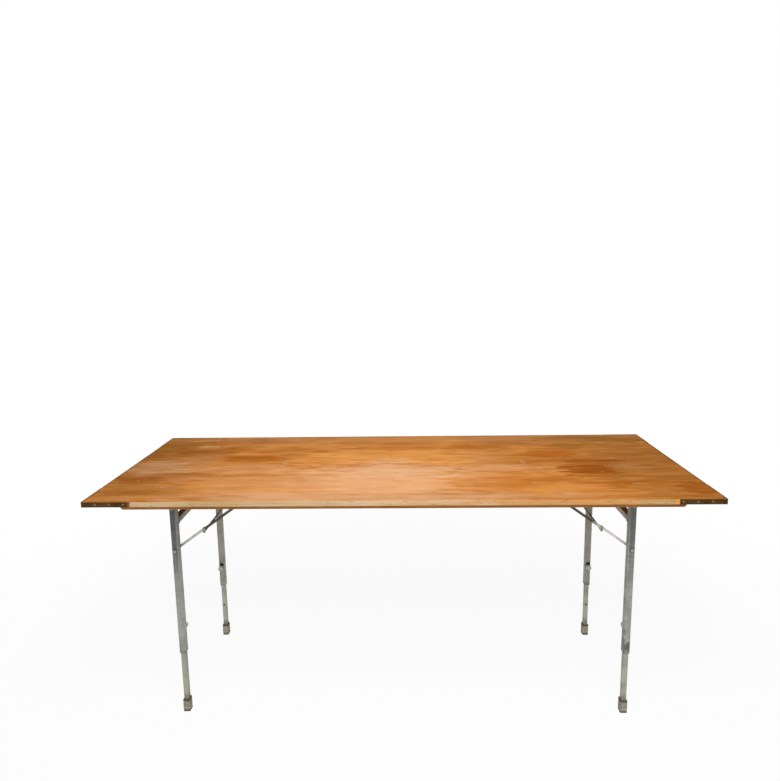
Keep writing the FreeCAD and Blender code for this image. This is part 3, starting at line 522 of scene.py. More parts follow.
def fittingGrimeAndShade():
    s = grimeAndShade
    stainsAndLight = []
    for side in sides:
        boltHeight = middleOf(f"{side}_stay_bolts").z
        for end in ends:
            # the spot on the inner face paints the shade of the sight hole
            holeHeight = middleOf(f"{end}_{side}_lock_plunger").z + s["holeLift"]
            low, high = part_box(f"{end}_{side}_leg_tube")
            outer, inner = (low.y, high.y) if end == "front" else (high.y, low.y)
            fittings = ((outer, boltHeight, s["boltReach"]), (inner, holeHeight, s["housingReach"]))
            for face, lift, reach in fittings:
                centre = ((low.x + high.x) / 2, face, lift)
                stainsAndLight.append(spotStainAndLight(centre, (reach, s["deep"], reach), s["tint"], s["strong"]))
    return stainsAndLight


# other marks on the leg tubes: reach, tint and strength of each, and the raggedness of the wide one
tubeMarks = {
    "endRing": (0.010, paint(88, 84, 72), 0.30),
    "endSoot": ((0.04, 0.06, 0.015), paint(66, 62, 46), 0.65),
    "topShade": (0.36, paint(80, 88, 88), 0.72, 0.10),
    "leftShade": ((0.03, 0.05, 0.25), paint(58, 62, 60), 0.42),
    "rubbed": ((0.008, 0.012, 0.012), paint(196, 194, 184), 0.60), "rubbedLift": 0.040,
    "brown": ((0.013, 0.012, 0.021), paint(98, 89, 71), 0.90), "brownLift": 0.024, "brownInset": 0.006,
    # innerFace: painted light, a lighter patch on the lit inner side faces near the top
    "innerFace": ((0.004, 0.03, 0.20), paint(180, 179, 169), 0.45), "innerDrop": 0.11,
    "backWarmth": ((0.05, 0.05, 0.40), paint(166, 157, 130), 0.35), "warmLift": 0.14,
    # smudges low on the front right tube: lift and height
    "smudges": ((0.072, 0.012), (0.042, 0.010), (0.016, 0.022)),
    "smudgeReach": (0.007, 0.030), "smudge": (paint(92, 90, 74), 0.60),
    "pits": 0.7,
}


def legTubeStainsAndLight():
    # places are taken from the front right tube
    s = tubeMarks
    low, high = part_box("front_right_leg_tube")
    middle = (low + high) / 2
    stainsAndLight = [heightStainAndLight(low.z, *s["endRing"]),
              spotStainAndLight((middle.x, -low.y, low.z), *s["endSoot"]),
              heightStainAndLight(high.z, *s["topShade"]),
              *fittingGrimeAndShade(),
              spotStainAndLight((-middle.x, low.y, high.z), *s["leftShade"]),
              spotStainAndLight((middle.x, low.y, low.z + s["rubbedLift"]), *s["rubbed"]),
              spotStainAndLight((high.x - s["brownInset"], low.y, low.z + s["brownLift"]), *s["brown"])]
    for lift, tall in s["smudges"]:
        stainsAndLight.append(spotStainAndLight((low.x, middle.y, low.z + lift), (*s["smudgeReach"], tall), *s["smudge"]))
    for way in sides.values():
        stainsAndLight.append(spotStainAndLight((way * low.x, middle.y, high.z - s["innerDrop"]), *s["innerFace"]))
        stainsAndLight.append(spotStainAndLight((way * middle.x, -middle.y, low.z + s["warmLift"]), *s["backWarmth"]))
    return stainsAndLight


# the inner tubes, dirty where they enter the feet and the leg tubes: reach, tint, strength and raggedness
innerMarks = {"dirt": paint(100, 96, 80), "pits": 0.8,
              "atFoot": (0.020, paint(96, 88, 66), 0.5), "footLift": 0.010,
              "atTube": (0.030, paint(136, 136, 130), 0.45, 0.05), "tubeDrop": 0.020}


def makeInnerTube(name, base, pale):
    s = innerMarks
    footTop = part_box("front_left_foot")[1].z
    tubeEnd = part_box("front_right_leg_tube")[0].z
    return makeZinc(name, base, pale, s["dirt"], pits=s["pits"], stainsAndLight=[
        heightStainAndLight(footTop + s["footLift"], *s["atFoot"]),
        heightStainAndLight(tubeEnd - s["tubeDrop"], *s["atTube"])])


# cross tubes, brown along the top face: painted shade and a painted reflection of the wooden underside
# above them
crossTopReflection = {"lift": 0.0015, "reach": 0.006, "strong": 0.95, "ragged": 0.002}


def makeCrossTube(name, base, pale, rust):
    s = crossTopReflection
    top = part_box("left_cross_tube")[1].z
    # the tint passed in as rust is this painted shade and reflection on the top face
    ring = heightStainAndLight(top + s["lift"], s["reach"], rust, s["strong"], s["ragged"])
    return makeZinc(name, base, pale, stainsAndLight=[ring])


# upper stays, darkened by painted shade under the top and a painted reflection of its brown underside, and
# on the right rubbed bright near the front joint
dullStay = {"base": paint(88, 78, 58), "pale": paint(112, 100, 78), "dirt": paint(52, 40, 22),
            "metal": 0.2, "rubbed": ((0.030, 0.030, 0.030), paint(226, 222, 212), 0.85)}
stayCrystals = 200.0


def makeShadedStay(name, rubbedAt=None):
    s = dullStay
    stainsAndLight = [spotStainAndLight(rubbedAt, *s["rubbed"])] if rubbedAt else []
    return makeZinc(name, s["base"], s["pale"], s["dirt"], stayCrystals, s["metal"], stainsAndLight=stainsAndLight)


# worn plastic feet, with painted shade round the mouth, a painted contact shadow at the floor and a
# painted highlight above the sole line: reach, tint and strength of the bands
footFinish = {"dirt": paint(60, 52, 36), "specular": 0.2, "rough": (0.6, 0.8), "bump": (0.0004, 0.6),
              "crystals": 120.0, "blotchStrong": 0.7, "gritStrong": 0.6,
              "mottle": paint(82, 78, 62), "mottleScale": 190.0, "mottleFade": (0.48, 0.64),
              "mottleStrong": 0.55,
              # rubbed: a pale band that is a painted highlight above the sole line
              "rubbed": (0.0035, paint(204, 196, 176), 0.40), "rubbedLift": 0.0145,
              # mouth: painted shade in the gap round the leg; sole: a painted contact shadow at the floor
              "mouth": (0.0055, paint(60, 52, 36), 0.85), "sole": (0.0125, paint(60, 52, 36), 0.92),
              "ragged": 0.004}


def makeFootFinish(name, base, pale):
    s = footFinish
    low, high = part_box("front_left_foot")
    material, tree, shader, where = newMaterial(name, s["specular"])
    film = useGroup(tree, patina, where=where, crystals=s["crystals"])
    colour = layTint(tree, film["blotches"], s["blotchStrong"], base, pale)
    colour = layTint(tree, film["grit"], s["gritStrong"], colour, s["dirt"])
    mottled = fade(tree, noise(tree, where, s["mottleScale"], detail=4.0, rough=0.65), *s["mottleFade"])
    colour = layTint(tree, mottled, s["mottleStrong"], colour, s["mottle"])
    # painted highlight above the sole line, painted shade at the mouth, painted contact shadow at the sole
    for key, height in (("rubbed", low.z + s["rubbedLift"]), ("mouth", high.z), ("sole", low.z)):
        colour = heightStainAndLight(height, *s[key], s["ragged"])(tree, where, colour)
    rough = fade(tree, film["blotches"], 0.0, 1.0, *s["rough"])
    finishMaterial(tree, shader, colour, rough, film["grit"], *s["bump"])
    return material


# one finish for each material slot
finishes = {
    "plywood": makeTopFace(),
    "batten_wood": makeSawnWood("battenWood", paint(184, 124, 62), paint(124, 73, 27), (1.2, 14.0, 14.0)),
    "guard_steel": makeGuardFinish(),
    "screw_steel": makeZinc("screwSteel", paint(98, 78, 50), paint(126, 105, 76), crystals=400.0,
                            metal=0.5, rough=(0.35, 0.5)),
    "bracket_steel": makeZinc("bracketSteel", paint(118, 114, 102), paint(146, 142, 130),
                              paint(72, 62, 44)),
    "bolt_steel": makeZinc("boltSteel", paint(146, 144, 136), paint(190, 186, 176), crystals=300.0,
                           metal=0.6, rough=(0.25, 0.42)),
    "spring_steel": makeZinc("springSteel", paint(130, 130, 128), paint(160, 160, 158)),
    "plunger_zinc": makeZinc("plungerZinc", paint(192, 196, 184), paint(214, 216, 204),
                             paint(132, 132, 120), crystals=300.0, metal=0.3, rough=(0.3, 0.45)),
    "galvanised_tube": makeZinc("galvanisedTube", paint(152, 155, 147), paint(178, 180, 171),
                                pits=tubeMarks["pits"], stainsAndLight=legTubeStainsAndLight()),
    "inner_tube": makeInnerTube("innerTube", paint(174, 173, 157), paint(192, 191, 175)),
    "stay_steel": makeZinc("staySteel", paint(208, 207, 200), paint(232, 231, 225), paint(126, 116, 96),
                           stayCrystals),
    "foot_plastic": makeFootFinish("footPlastic", paint(134, 130, 113), paint(170, 165, 148)),
}
# the back legs are cleaner than the front ones
backFinish = {"foot": makeFootFinish("cleanFoot", paint(168, 163, 145), paint(198, 193, 175)),
              "inner_leg": makeInnerTube("cleanInnerTube", paint(188, 187, 171), paint(205, 204, 188))}
edgeFinish = makeTopEdge()
undersideFinish = makeSawnWood("plywoodUnderside", paint(172, 126, 80), paint(120, 78, 40),
                               (1.0, 12.0, 12.0), 0.4)
jointFinish = makeZinc("stayJoint", paint(100, 95, 83), paint(124, 118, 105), paint(62, 53, 38),
                       stayCrystals)
# dark finish for the bores of the upright tubes: painted shade inside them, with dirt
boreShadeFinish = makeZinc("tubeBore", paint(44, 42, 38), paint(58, 56, 50), paint(26, 24, 20), metal=0.1,
                      rough=(0.6, 0.8))
rivetLow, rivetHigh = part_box("right_stay_upper_rivets")
rubbedAt = ((rivetLow.x + rivetHigh.x) / 2, rivetLow.y, rivetHigh.z)
# kinds of pieces, and single ones, that don't look as the rest of their slot
ownFinish = {
    # the last colour of each cross tube is the painted shade and reflection on its top face
    "cross_tube": makeCrossTube("crossTube", paint(148, 141, 127), paint(174, 167, 153),
                                paint(98, 68, 28)),
    # the right cross tube is a lighter copy of the cross tube finish: painted light on the better-lit
    # right side
    "right_cross_tube": makeCrossTube("paleCrossTube", paint(168, 160, 138), paint(196, 188, 164),
                                      paint(122, 86, 40)),
    # the upper stays' dark finish is painted shade and reflection
    "stay_upper_links": makeShadedStay("dullStay"),
    "right_stay_upper_links": makeShadedStay("rubbedStay", rubbedAt),
    # the right lower stay is a paler copy of the stay steel: a painted highlight
    "right_stay_lower_links": makeZinc("paleStay", paint(238, 237, 231), paint(250, 249, 245),
                                       paint(182, 174, 156), stayCrystals),
    "release_bar": jointFinish,
}
print("finishes ready:", len(bpy.data.materials))


# modelling helpers
tolerance = {"gap": 1e-6, "flatAngle": 0.5, "facing": 0.9}
spinStep = 2.4  # how much further each repeated fastener is turned than the last, in radians


def onlySelect(*pieces):
    bpy.ops.object.select_all(action="DESELECT")
    for piece in pieces:
        piece.select_set(True)
    bpy.context.view_layer.objects.active = pieces[0]


def editAll():
    bpy.ops.object.mode_set(mode="EDIT")
    bpy.ops.mesh.select_all(action="SELECT")


def leaveEdit():
    bpy.ops.object.mode_set(mode="OBJECT")


def smooth(degrees):
    bpy.ops.object.shade_smooth_by_angle(angle=math.radians(degrees))


def fixPlace(size=None):
    # the piece just made takes its size and place into its mesh
    piece = bpy.context.object
    if size is not None:
        piece.scale = size
    bpy.ops.object.transform_apply(location=True, rotation=True, scale=True)
    return piece


def camelName(node):
    first, *others = node.split("_")
    return first + "".join(word.title() for word in others)


def settle(piece, node, *materials):
    # the piece stands for a CAD node: it rides on that node's body and takes its slot
    piece.name = camelName(node)
    piece.data.materials.clear()
    for material in materials or (finishes[slotOf[node]],):
        piece.data.materials.append(material)
    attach(piece, bodyOf[node])
    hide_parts(node)


def pick(piece, kind, test):
    # selects the points, edges or faces that pass the test, and leaves the piece in edit mode
    leaveEdit()
    mesh = piece.data
    for items in (mesh.vertices, mesh.edges, mesh.polygons):
        items.foreach_set("select", [False] * len(items))
    for item in {"VERT": mesh.vertices, "EDGE": mesh.edges, "FACE": mesh.polygons}[kind]:
        item.select = test(item)
    bpy.context.tool_settings.mesh_select_mode = [kind == each for each in ("VERT", "EDGE", "FACE")]
    bpy.ops.object.mode_set(mode="EDIT")


def copyShape(node):
    # a new object with a merged copy of a CAD shape
    piece = bpy.data.objects.new("copyOf" + node, nodes[node].data.copy())
    bpy.context.collection.objects.link(piece)
    onlySelect(piece)
    editAll()
    bpy.ops.mesh.remove_doubles(threshold=tolerance["gap"])
    bpy.ops.mesh.dissolve_limited(angle_limit=math.radians(tolerance["flatAngle"]))
    leaveEdit()
    return piece


def looseBoxes(node):
    # lowest and highest corner of each separate solid in a CAD node
    copyShape(node)
    editAll()
    bpy.ops.mesh.separate(type="LOOSE")
    leaveEdit()
    boxes = []
    for piece in list(bpy.context.selected_objects):
        rows = list(zip(*(point.co for point in piece.data.vertices)))
        boxes.append((Vector(min(row) for row in rows), Vector(max(row) for row in rows)))
        bpy.data.objects.remove(piece)
    return sorted(boxes, key=lambda box: tuple(round(part, 4) for part in box[0]))


def roundEdges(piece, width, steps=2, sharp=35.0):
    onlySelect(piece)
    rounding = piece.modifiers.new("rounding", "BEVEL")
    rounding.width = width
    rounding.segments = steps
    rounding.limit_method = "ANGLE"
    rounding.angle_limit = math.radians(sharp)
    bpy.ops.object.modifier_apply(modifier=rounding.name)
    smooth(sharp)


def cutWith(piece, cutter, operation="DIFFERENCE"):
    onlySelect(piece)
    cutting = piece.modifiers.new("cut", "BOOLEAN")
    cutting.operation = operation
    cutting.solver = "EXACT"
    cutting.object = cutter
    bpy.ops.object.modifier_apply(modifier=cutting.name)
    bpy.data.objects.remove(cutter)


def addBlock(size, middle):
    bpy.ops.object.select_all(action="DESELECT")
    bpy.ops.mesh.primitive_cube_add(size=1, location=middle)
    return fixPlace(size)


def addRod(radius, long, corners=32, base=0.0):
    # an upright cylinder about Z that starts at a height
    bpy.ops.object.select_all(action="DESELECT")
    bpy.ops.mesh.primitive_cylinder_add(vertices=corners, radius=radius, depth=long,
                                        location=(0, 0, base + long / 2))
    return fixPlace()


def pullCap(piece, way, steps):
    # draws the top or bottom face on: each step says how far it goes and how its size changes
    onlySelect(piece)
    furthest = max(way * point.co.z for point in piece.data.vertices) - tolerance["gap"]
    pick(piece, "FACE", lambda face: way * face.normal.z > tolerance["facing"]
         and way * face.center.z > furthest)
    for far, share in steps:
        bpy.ops.mesh.extrude_region_move(TRANSFORM_OT_translate={"value": (0, 0, way * far)})
        bpy.ops.transform.resize(value=(share, share, 1), center_override=(0, 0, 0))
    leaveEdit()


def domeSteps(high, count=4, last=78.0):
    # steps of a quarter arc, for pullCap
    turns = [math.radians(last * number / count) for number in range(count + 1)]
    return [(high * (math.sin(after) - math.sin(before)), math.cos(after) / math.cos(before))
            for before, after in zip(turns, turns[1:])]


def joinAt(masters, places):
    # copies of each master at its places (spot, way it points), joined to one piece at the origin
    copies = []
    for master, spots in zip(masters, places):
        for number, (spot, outward) in enumerate(spots):
            copy = bpy.data.objects.new(master.name, master.data.copy())
            bpy.context.collection.objects.link(copy)
            turn = outward.to_track_quat("Z", "Y").to_matrix().to_4x4()
            spin = Matrix.Rotation(number * spinStep, 4, "Z")
            copy.matrix_world = Matrix.Translation(spot) @ turn @ spin
            copies.append(copy)
        bpy.data.objects.remove(master)
    onlySelect(*copies)
    bpy.ops.object.join()
    return fixPlace()


# the plywood top, with rounded edges and recesses for the corner guards
topShape = {"wornStep": 0.008, "edgeRound": 0.0013, "roundSteps": 3,
            "near": 1e-5, "upright": 0.5, "flat": 0.85}


def modelTop():
    s = topShape
    reach, deep, near = guardRecess["reach"], guardRecess["deep"], s["near"]
    low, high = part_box("plywood_top")
    top = addBlock(high - low, (low + high) / 2)
    bpy.ops.object.mode_set(mode="EDIT")
    for axis in (0, 1):
        inner = high[axis] - reach
        for place in (-inner, -inner + s["wornStep"], inner - s["wornStep"], inner):
            spot, normal = Vector(), Vector()
            spot[axis], normal[axis] = place, 1
            bpy.ops.mesh.select_all(action="SELECT")
            bpy.ops.mesh.bisect(plane_co=spot, plane_no=normal)
    for axis, other in ((0, 1), (1, 0)):
        for side in (-1, 1):
            pick(top, "VERT", lambda point: abs(point.co[axis] - side * high[axis]) < near + deep
                 and abs(point.co[other]) > high[other] - reach - near)
            inward = Vector()
            inward[axis] = -side * deep
            bpy.ops.transform.translate(value=inward)
    leaveEdit()
    points = top.data.vertices
    rims = {tuple(sorted(key)) for face in top.data.polygons if abs(face.normal.z) < s["upright"]
            for key in face.edge_keys if abs(points[key[0]].co.z - points[key[1]].co.z) < near}
    pick(top, "EDGE", lambda edge: tuple(sorted(edge.vertices)) in rims)
    bpy.ops.mesh.bevel(offset=s["edgeRound"], segments=s["roundSteps"], affect="EDGES")
    leaveEdit()
    settle(top, "plywood_top", finishes["plywood"], edgeFinish, undersideFinish)
    for face in top.data.polygons:
        face.material_index = 0 if face.normal.z > s["flat"] else 2 if face.normal.z < -s["flat"] else 1


modelTop()
print("top modelled")


# screws: a domed or sunk head with a slot, and a pointed shank
guardScrew = {"headRadius": 0.0040, "headHigh": 0.0014, "rim": 0.0004, "shank": 0.00175,
              "slot": 0.0011, "deep": 0.0008}
bracketScrew = {"headRadius": 0.0035, "headHigh": 0.0020, "rim": 0.0006, "shank": 0.00175,
                "slot": 0.0010, "deep": 0.0009}
battenScrew = {"headRadius": 0.0040, "sunk": 0.0024, "rim": 0.0002, "shank": 0.0020,
               "slot": 0.0011, "deep": 0.0010}
allScrews = {"corners": 28, "pointLong": 0.003, "pointShare": 0.25, "smooth": 40.0}


def modelScrew(s, long):
    # head above the origin, shank below it
    point = allScrews["pointLong"]
    screw = addRod(s["headRadius"], s["rim"], allScrews["corners"])
    toShank = s["shank"] / s["headRadius"]
    if "sunk" in s:
        pullCap(screw, -1, [(s["sunk"], toShank)])
        long -= s["sunk"]
    else:
        pullCap(screw, 1, domeSteps(s["headHigh"] - s["rim"]))
        pullCap(screw, -1, [(0.0, toShank)])
    pullCap(screw, -1, [(long - point, 1.0), (point, allScrews["pointShare"])])
    face = s.get("headHigh", s["rim"])  # the slot's cutter reaches past the head, half above its face
    cutWith(screw, addBlock((3 * s["headRadius"], s["slot"], 2 * s["deep"]), (0, 0, face)))
    smooth(allScrews["smooth"])
    return screw


def placeScrews(node, s, axis=None, way=None):
    # a screw in each solid's place, along the axis or its longest side; way is its head's side, or outward
    head = s.get("headHigh", 0.0)
    groups = {}
    for low, high in looseBoxes(node):
        along = axis if axis is not None else max(range(3), key=lambda part: high[part] - low[part])
        side = way or (1 if low[along] + high[along] > 0 else -1)
        spot, outward = (low + high) / 2, Vector()
        spot[along] = (high[along] if side > 0 else low[along]) - side * head
        outward[along] = side
        groups.setdefault(round(high[along] - low[along] - head, 5), []).append((spot, outward))
    masters = [modelScrew(s, long) for long in groups]
    settle(joinAt(masters, groups.values()), node)


placeScrews("corner_guard_screws", guardScrew)
placeScrews("bracket_screws", bracketScrew, 2, -1)
placeScrews("batten_screws", battenScrew, 2, -1)
print("screws modelled")


# hexagon bolts and nuts, chamfered
hingeBolt = {"across": 0.013, "headHigh": 0.0053, "nutHigh": 0.0065, "shank": 0.0040}
stayBolt = {"across": 0.010, "headHigh": 0.0040, "nutHigh": 0.0050, "shank": 0.0030}
allBolts = {"flatShare": 0.49, "slope": math.tan(math.radians(30)), "tip": 0.0008, "nutPlay": 0.00005,
            "turnedCorners": 48, "shankCorners": 24, "smooth": 25.0, "nutLimit": 1.5}


def modelHex(across, high, base, bothEnds):
    # a hexagon whose corners are turned off
    corner, flat = across / math.sqrt(3), allBolts["flatShare"] * across
    off = (corner - flat) * allBolts["slope"]
    lowOff = off if bothEnds else 0
    block = addRod(corner, high, 6, base)
    turned = addRod(corner, high - off - lowOff, allBolts["turnedCorners"], base + lowOff)
    for way in (1, -1) if bothEnds else (1,):
        pullCap(turned, way, [(off, flat / corner)])
    cutWith(block, turned, "INTERSECT")
    return block


def modelBolt(s, long):
    tip = allBolts["tip"]
    head = modelHex(s["across"], s["headHigh"], 0.0, False)
    shank = addRod(s["shank"], long - tip, allBolts["shankCorners"], -long + tip)
    pullCap(shank, -1, [(tip, 1 - tip / s["shank"])])
    onlySelect(head, shank)
    bpy.ops.object.join()
    smooth(allBolts["smooth"])
    return head


def modelNut(s):
    high = s["nutHigh"]  # the bore's cutter stands out one height at each end
    nut = modelHex(s["across"], high, -high, True)
    cutWith(nut, addRod(s["shank"] + allBolts["nutPlay"], 3 * high, allBolts["shankCorners"], -2 * high))
    smooth(allBolts["smooth"])
    return nut


def placeBolts(node, s):
    # the long solids are bolts with the head outside, the short ones nuts
    bolts, nuts, long = [], [], 0.0
    for low, high in looseBoxes(node):
        side = 1 if low.y + high.y > 0 else -1
        spot, outward = (low + high) / 2, Vector((0, side, 0))
        spot.y = high.y if side > 0 else low.y
        if high.y - low.y < allBolts["nutLimit"] * s["nutHigh"]:
            nuts.append((spot, outward))
        else:
            bolts.append((spot - outward * s["headHigh"], outward))
            long = high.y - low.y - s["headHigh"]
    settle(joinAt([modelBolt(s, long), modelNut(s)], [bolts, nuts]), node)


placeBolts("hinge_bolts", hingeBolt)
for side in sides:
    placeBolts(f"{side}_stay_bolts", stayBolt)
print("bolts modelled")


# rivets of the stays' middle joints, with round heads
stayRivet = {"headRadius": 0.005, "headHigh": 0.002, "rim": 0.0005, "shank": 0.003, "corners": 32,
             "domeSteps": 5, "domeLast": 84.0, "smooth": 40.0}


def placeRivets(node, headOutside):
    s = stayRivet
    places, long = [], 0.0
    for low, high in looseBoxes(node):
        side = 1 if low.y + high.y > 0 else -1
        way = side if headOutside else -side
        spot, outward = (low + high) / 2, Vector((0, way, 0))
        spot.y = (high.y if way > 0 else low.y) - way * s["headHigh"]
        places.append((spot, outward))
        long = high.y - low.y - s["headHigh"]
    rivet = addRod(s["headRadius"], s["rim"], s["corners"])
    pullCap(rivet, 1, domeSteps(s["headHigh"] - s["rim"], s["domeSteps"], s["domeLast"]))
    pullCap(rivet, -1, [(0.0, s["shank"] / s["headRadius"]), (long, 1.0)])
    smooth(s["smooth"])
    settle(joinAt([rivet], [places]), node, finishes["bolt_steel"] if headOutside else jointFinish)


for side in sides:
    placeRivets(f"{side}_stay_upper_rivets", True)
    placeRivets(f"{side}_stay_lower_rivets", False)
print("rivets modelled")


# lock plungers: a knurled pull knob with a dished face, on a pin with a shoulder
plungerShape = {"knobLong": 0.009, "edge": 0.0010, "start": 0.0001, "ribs": 40, "ribGap": 0.0003,
                "ribDeep": 0.0004, "ribArea": 1e-6, "lip": 0.0012, "pinRadius": 0.003,
                "shoulderRadius": 0.0048, "shoulderLong": 0.0012, "tip": 0.0004, "tipShare": 0.9,
                "smooth": 30.0,
                # how far each step of the dish goes in, and how its size changes
                "dish": [(0.0, 0.97), (0.00084, 0.86), (0.00036, 0.5)]}


def modelPlunger(radius, long):
    # the knob's back is at the origin and its face above; the pin goes down
    s = plungerShape
    edge, pin, shoulder = s["edge"], s["pinRadius"], s["shoulderRadius"]
    back = radius - edge
    knob = addRod(back, s["start"], s["ribs"])
    pullCap(knob, 1, [(edge, radius / back), (s["knobLong"] - 2 * edge, 1.0), (edge, 1 - edge / radius),
                      (0.0, 1 - s["lip"] / back)])
    pullCap(knob, 1, [(-far, share) for far, share in s["dish"]])
    pick(knob, "FACE", lambda face: abs(face.normal.z) < 1 - tolerance["facing"]
         and face.area > s["ribArea"])
    bpy.ops.mesh.inset(thickness=s["ribGap"], depth=-s["ribDeep"], use_individual=True)
    leaveEdit()
    pinLong = long - s["knobLong"] - s["shoulderLong"] - s["tip"]
    pullCap(knob, -1, [(0.0, pin / back), (pinLong, 1.0), (0.0, shoulder / pin), (s["shoulderLong"], 1.0),
                       (0.0, pin / shoulder), (s["tip"], s["tipShare"])])
    smooth(s["smooth"])
    return knob


for side in sides:
    for end, way in ends.items():
        node = f"{end}_{side}_lock_plunger"
        low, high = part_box(node)
        spot = (low + high) / 2
        spot.y = (low.y if way > 0 else high.y) + way * plungerShape["knobLong"]
        plunger = modelPlunger((high.x - low.x) / 2, high.y - low.y)
        settle(joinAt([plunger], [[(spot, Vector((0, -way, 0)))]]), node)
print("plungers modelled")


# coil springs behind the shoulders of the plungers, each with a mesh of its own
springShape = {"wire": 0.0011, "turns": 3.5, "stepsPerTurn": 28, "wireSides": 10, "smooth": 50.0}


def modelSpring(radius, long):
    # winds up from the origin; radius and long are outer sizes
    s = springShape
    half = s["wire"] / 2
    bpy.ops.object.select_all(action="DESELECT")
    bpy.ops.mesh.primitive_circle_add(vertices=s["wireSides"], radius=half, rotation=(math.pi / 2, 0, 0),
                                      location=(radius - half, 0, half))
    spring = fixPlace()
    winding = spring.modifiers.new("winding", "SCREW")
    winding.angle = math.tau * s["turns"]
    winding.screw_offset = long - s["wire"]
    winding.steps = winding.render_steps = round(s["turns"] * s["stepsPerTurn"])
    bpy.ops.object.modifier_apply(modifier=winding.name)
    editAll()
    bpy.ops.mesh.fill_holes(sides=s["wireSides"])
    bpy.ops.mesh.normals_make_consistent(inside=False)
    leaveEdit()
    smooth(s["smooth"])
    return spring


for side in sides:
    node = f"{side}_plunger_springs"
    for end, (low, high) in zip(ends, looseBoxes(node)):
        start = Vector(((low.x + high.x) / 2, low.y, (low.z + high.z) / 2))
        long = high.y - low.y
        spring = joinAt([modelSpring((high.x - low.x) / 2, long)], [[(start, Vector((0, 1, 0)))]])
        settle(spring, node)
        spring.name = camelName(f"{end}_{side}_plunger_spring")
        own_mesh(spring)
print("springs wound")


# weld beads round the ends of the cross tubes
weldBead = {"thick": 0.0044, "corner": 0.0025, "cornerSteps": 2, "lumps": 7, "roundness": 3,
            "uneven": 0.0006, "seed": 5, "smooth": 60.0}


def placeWelds(side):
    s = weldBead
    low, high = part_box(f"{side}_cross_tube")
    middle = (low + high) / 2
    beads = []
    for face in (low.y, high.y):
        bpy.ops.object.select_all(action="DESELECT")
        bpy.ops.mesh.primitive_plane_add(size=1, location=(middle.x, face, middle.z),
                                         rotation=(math.pi / 2, 0, 0))
        bead = fixPlace((high.x - low.x, high.z - low.z, 1))
        editAll()
        bpy.ops.mesh.bevel(offset=s["corner"], segments=s["cornerSteps"], affect="VERTICES")
        bpy.ops.mesh.delete(type="ONLY_FACE")
        bpy.ops.mesh.select_all(action="SELECT")
        bpy.ops.mesh.subdivide(number_cuts=s["lumps"])
        leaveEdit()
        bpy.ops.object.convert(target="CURVE")
        bead.data.bevel_depth = s["thick"] / 2
        bead.data.bevel_resolution = s["roundness"]
        bpy.ops.object.convert(target="MESH")
        beads.append(bpy.context.object)
    onlySelect(*beads)
    bpy.ops.object.join()
    editAll()
    bpy.ops.transform.vertex_random(offset=s["uneven"], normal=1.0, seed=s["seed"])
    bpy.ops.mesh.normals_make_consistent(inside=False)
    leaveEdit()
    smooth(s["smooth"])
    welds = bpy.context.object
    welds.name = f"{side}Welds"
    welds.data.materials.append(finishes["galvanised_tube"])
    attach(welds, f"{side}_leg_frame")


for side in sides:
    placeWelds(side)
print("welds laid")


# feet: boots with a collar line near the mouth and a line above the sole
footShape = {"grooveDrop": 0.0095, "grooveHalf": 0.0008, "soleLine": 0.0070, "grooveShare": 0.96,
             "rounding": 0.0012, "roundSteps": 3, "outerShare": 0.84, "soleShare": 0.87}


def modelFoot(node):
    s = footShape
    low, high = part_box(node)
    middle, outer = (low + high) / 2, s["outerShare"] * (high - low) / 2
    foot = copyShape(node)
    grooves = (high.z - s["grooveDrop"], low.z + s["soleLine"])
    bpy.ops.object.mode_set(mode="EDIT")
    for groove in grooves:
        for offset in (-2, -1, 1, 2):
            bpy.ops.mesh.select_all(action="SELECT")
            bpy.ops.mesh.bisect(plane_co=(0, 0, groove + offset * s["grooveHalf"]), plane_no=(0, 0, 1))

    def inGroove(point):
        off = point.co - middle
        near = min(abs(point.co.z - groove) for groove in grooves) < 1.5 * s["grooveHalf"]
        return near and (abs(off.x) > outer.x or abs(off.y) > outer.y)

    def onSole(point):
        return point.co.z < low.z + s["grooveHalf"]

    for test, share in ((inGroove, s["grooveShare"]), (onSole, s["soleShare"])):
        pick(foot, "VERT", test)
        bpy.ops.transform.resize(value=(share, share, 1), center_override=middle)
    leaveEdit()
    roundEdges(foot, s["rounding"], s["roundSteps"])
    settle(foot, node, backFinish["foot"] if node.startswith("back") else finishes["foot_plastic"])


for side in sides:
    for end in ends:
        modelFoot(f"{end}_{side}_foot")
print("feet modelled")


# the other pieces keep their CAD shape, with their edges eased by this much
easing = {"corner_guard": 0.0004, "hinge_batten": 0.0012, "batten": 0.0012, "hinge_bracket": 0.0004,
          "stay_bracket": 0.0004, "stay_bracket_pins": 0.0004, "leg_tube": 0.0003, "cross_tube": 0.0003,
          "stay_bushes": 0.0004, "plunger_housings": 0.0005, "inner_leg": 0.0003,
          "stay_upper_links": 0.0005, "stay_lower_links": 0.0005, "release_bar": 0.0005}
boreWall = {"leg_tube": 0.002, "inner_leg": 0.0015}


def paintBoreShade(piece, wall):
    # faces further in than half the wall belong to the bore of an upright tube
    inside = []
    for axis in (0, 1):
        row = [point.co[axis] for point in piece.data.vertices]
        inside.append((min(row) + wall / 2, max(row) - wall / 2))
    # the bore's faces take the dark finish: painted shade inside the tube
    piece.data.materials.append(boreShadeFinish)
    for face in piece.data.polygons:
        if all(low < face.center[axis] < high for axis, (low, high) in enumerate(inside)):
            face.material_index = 1


for node, thing in nodes.items():
    if thing.hide_render:
        continue
    kind = max((key for key in easing if node.endswith(key)), key=len)
    piece = copyShape(node)
    roundEdges(piece, easing[kind])
    cleaner = backFinish if node.startswith("back") else {}
    usual = cleaner.get(kind) or ownFinish.get(kind) or finishes[slotOf[node]]
    settle(piece, node, ownFinish.get(node) or usual)
    if kind in boreWall:
        paintBoreShade(piece, boreWall[kind])
print("edges eased")


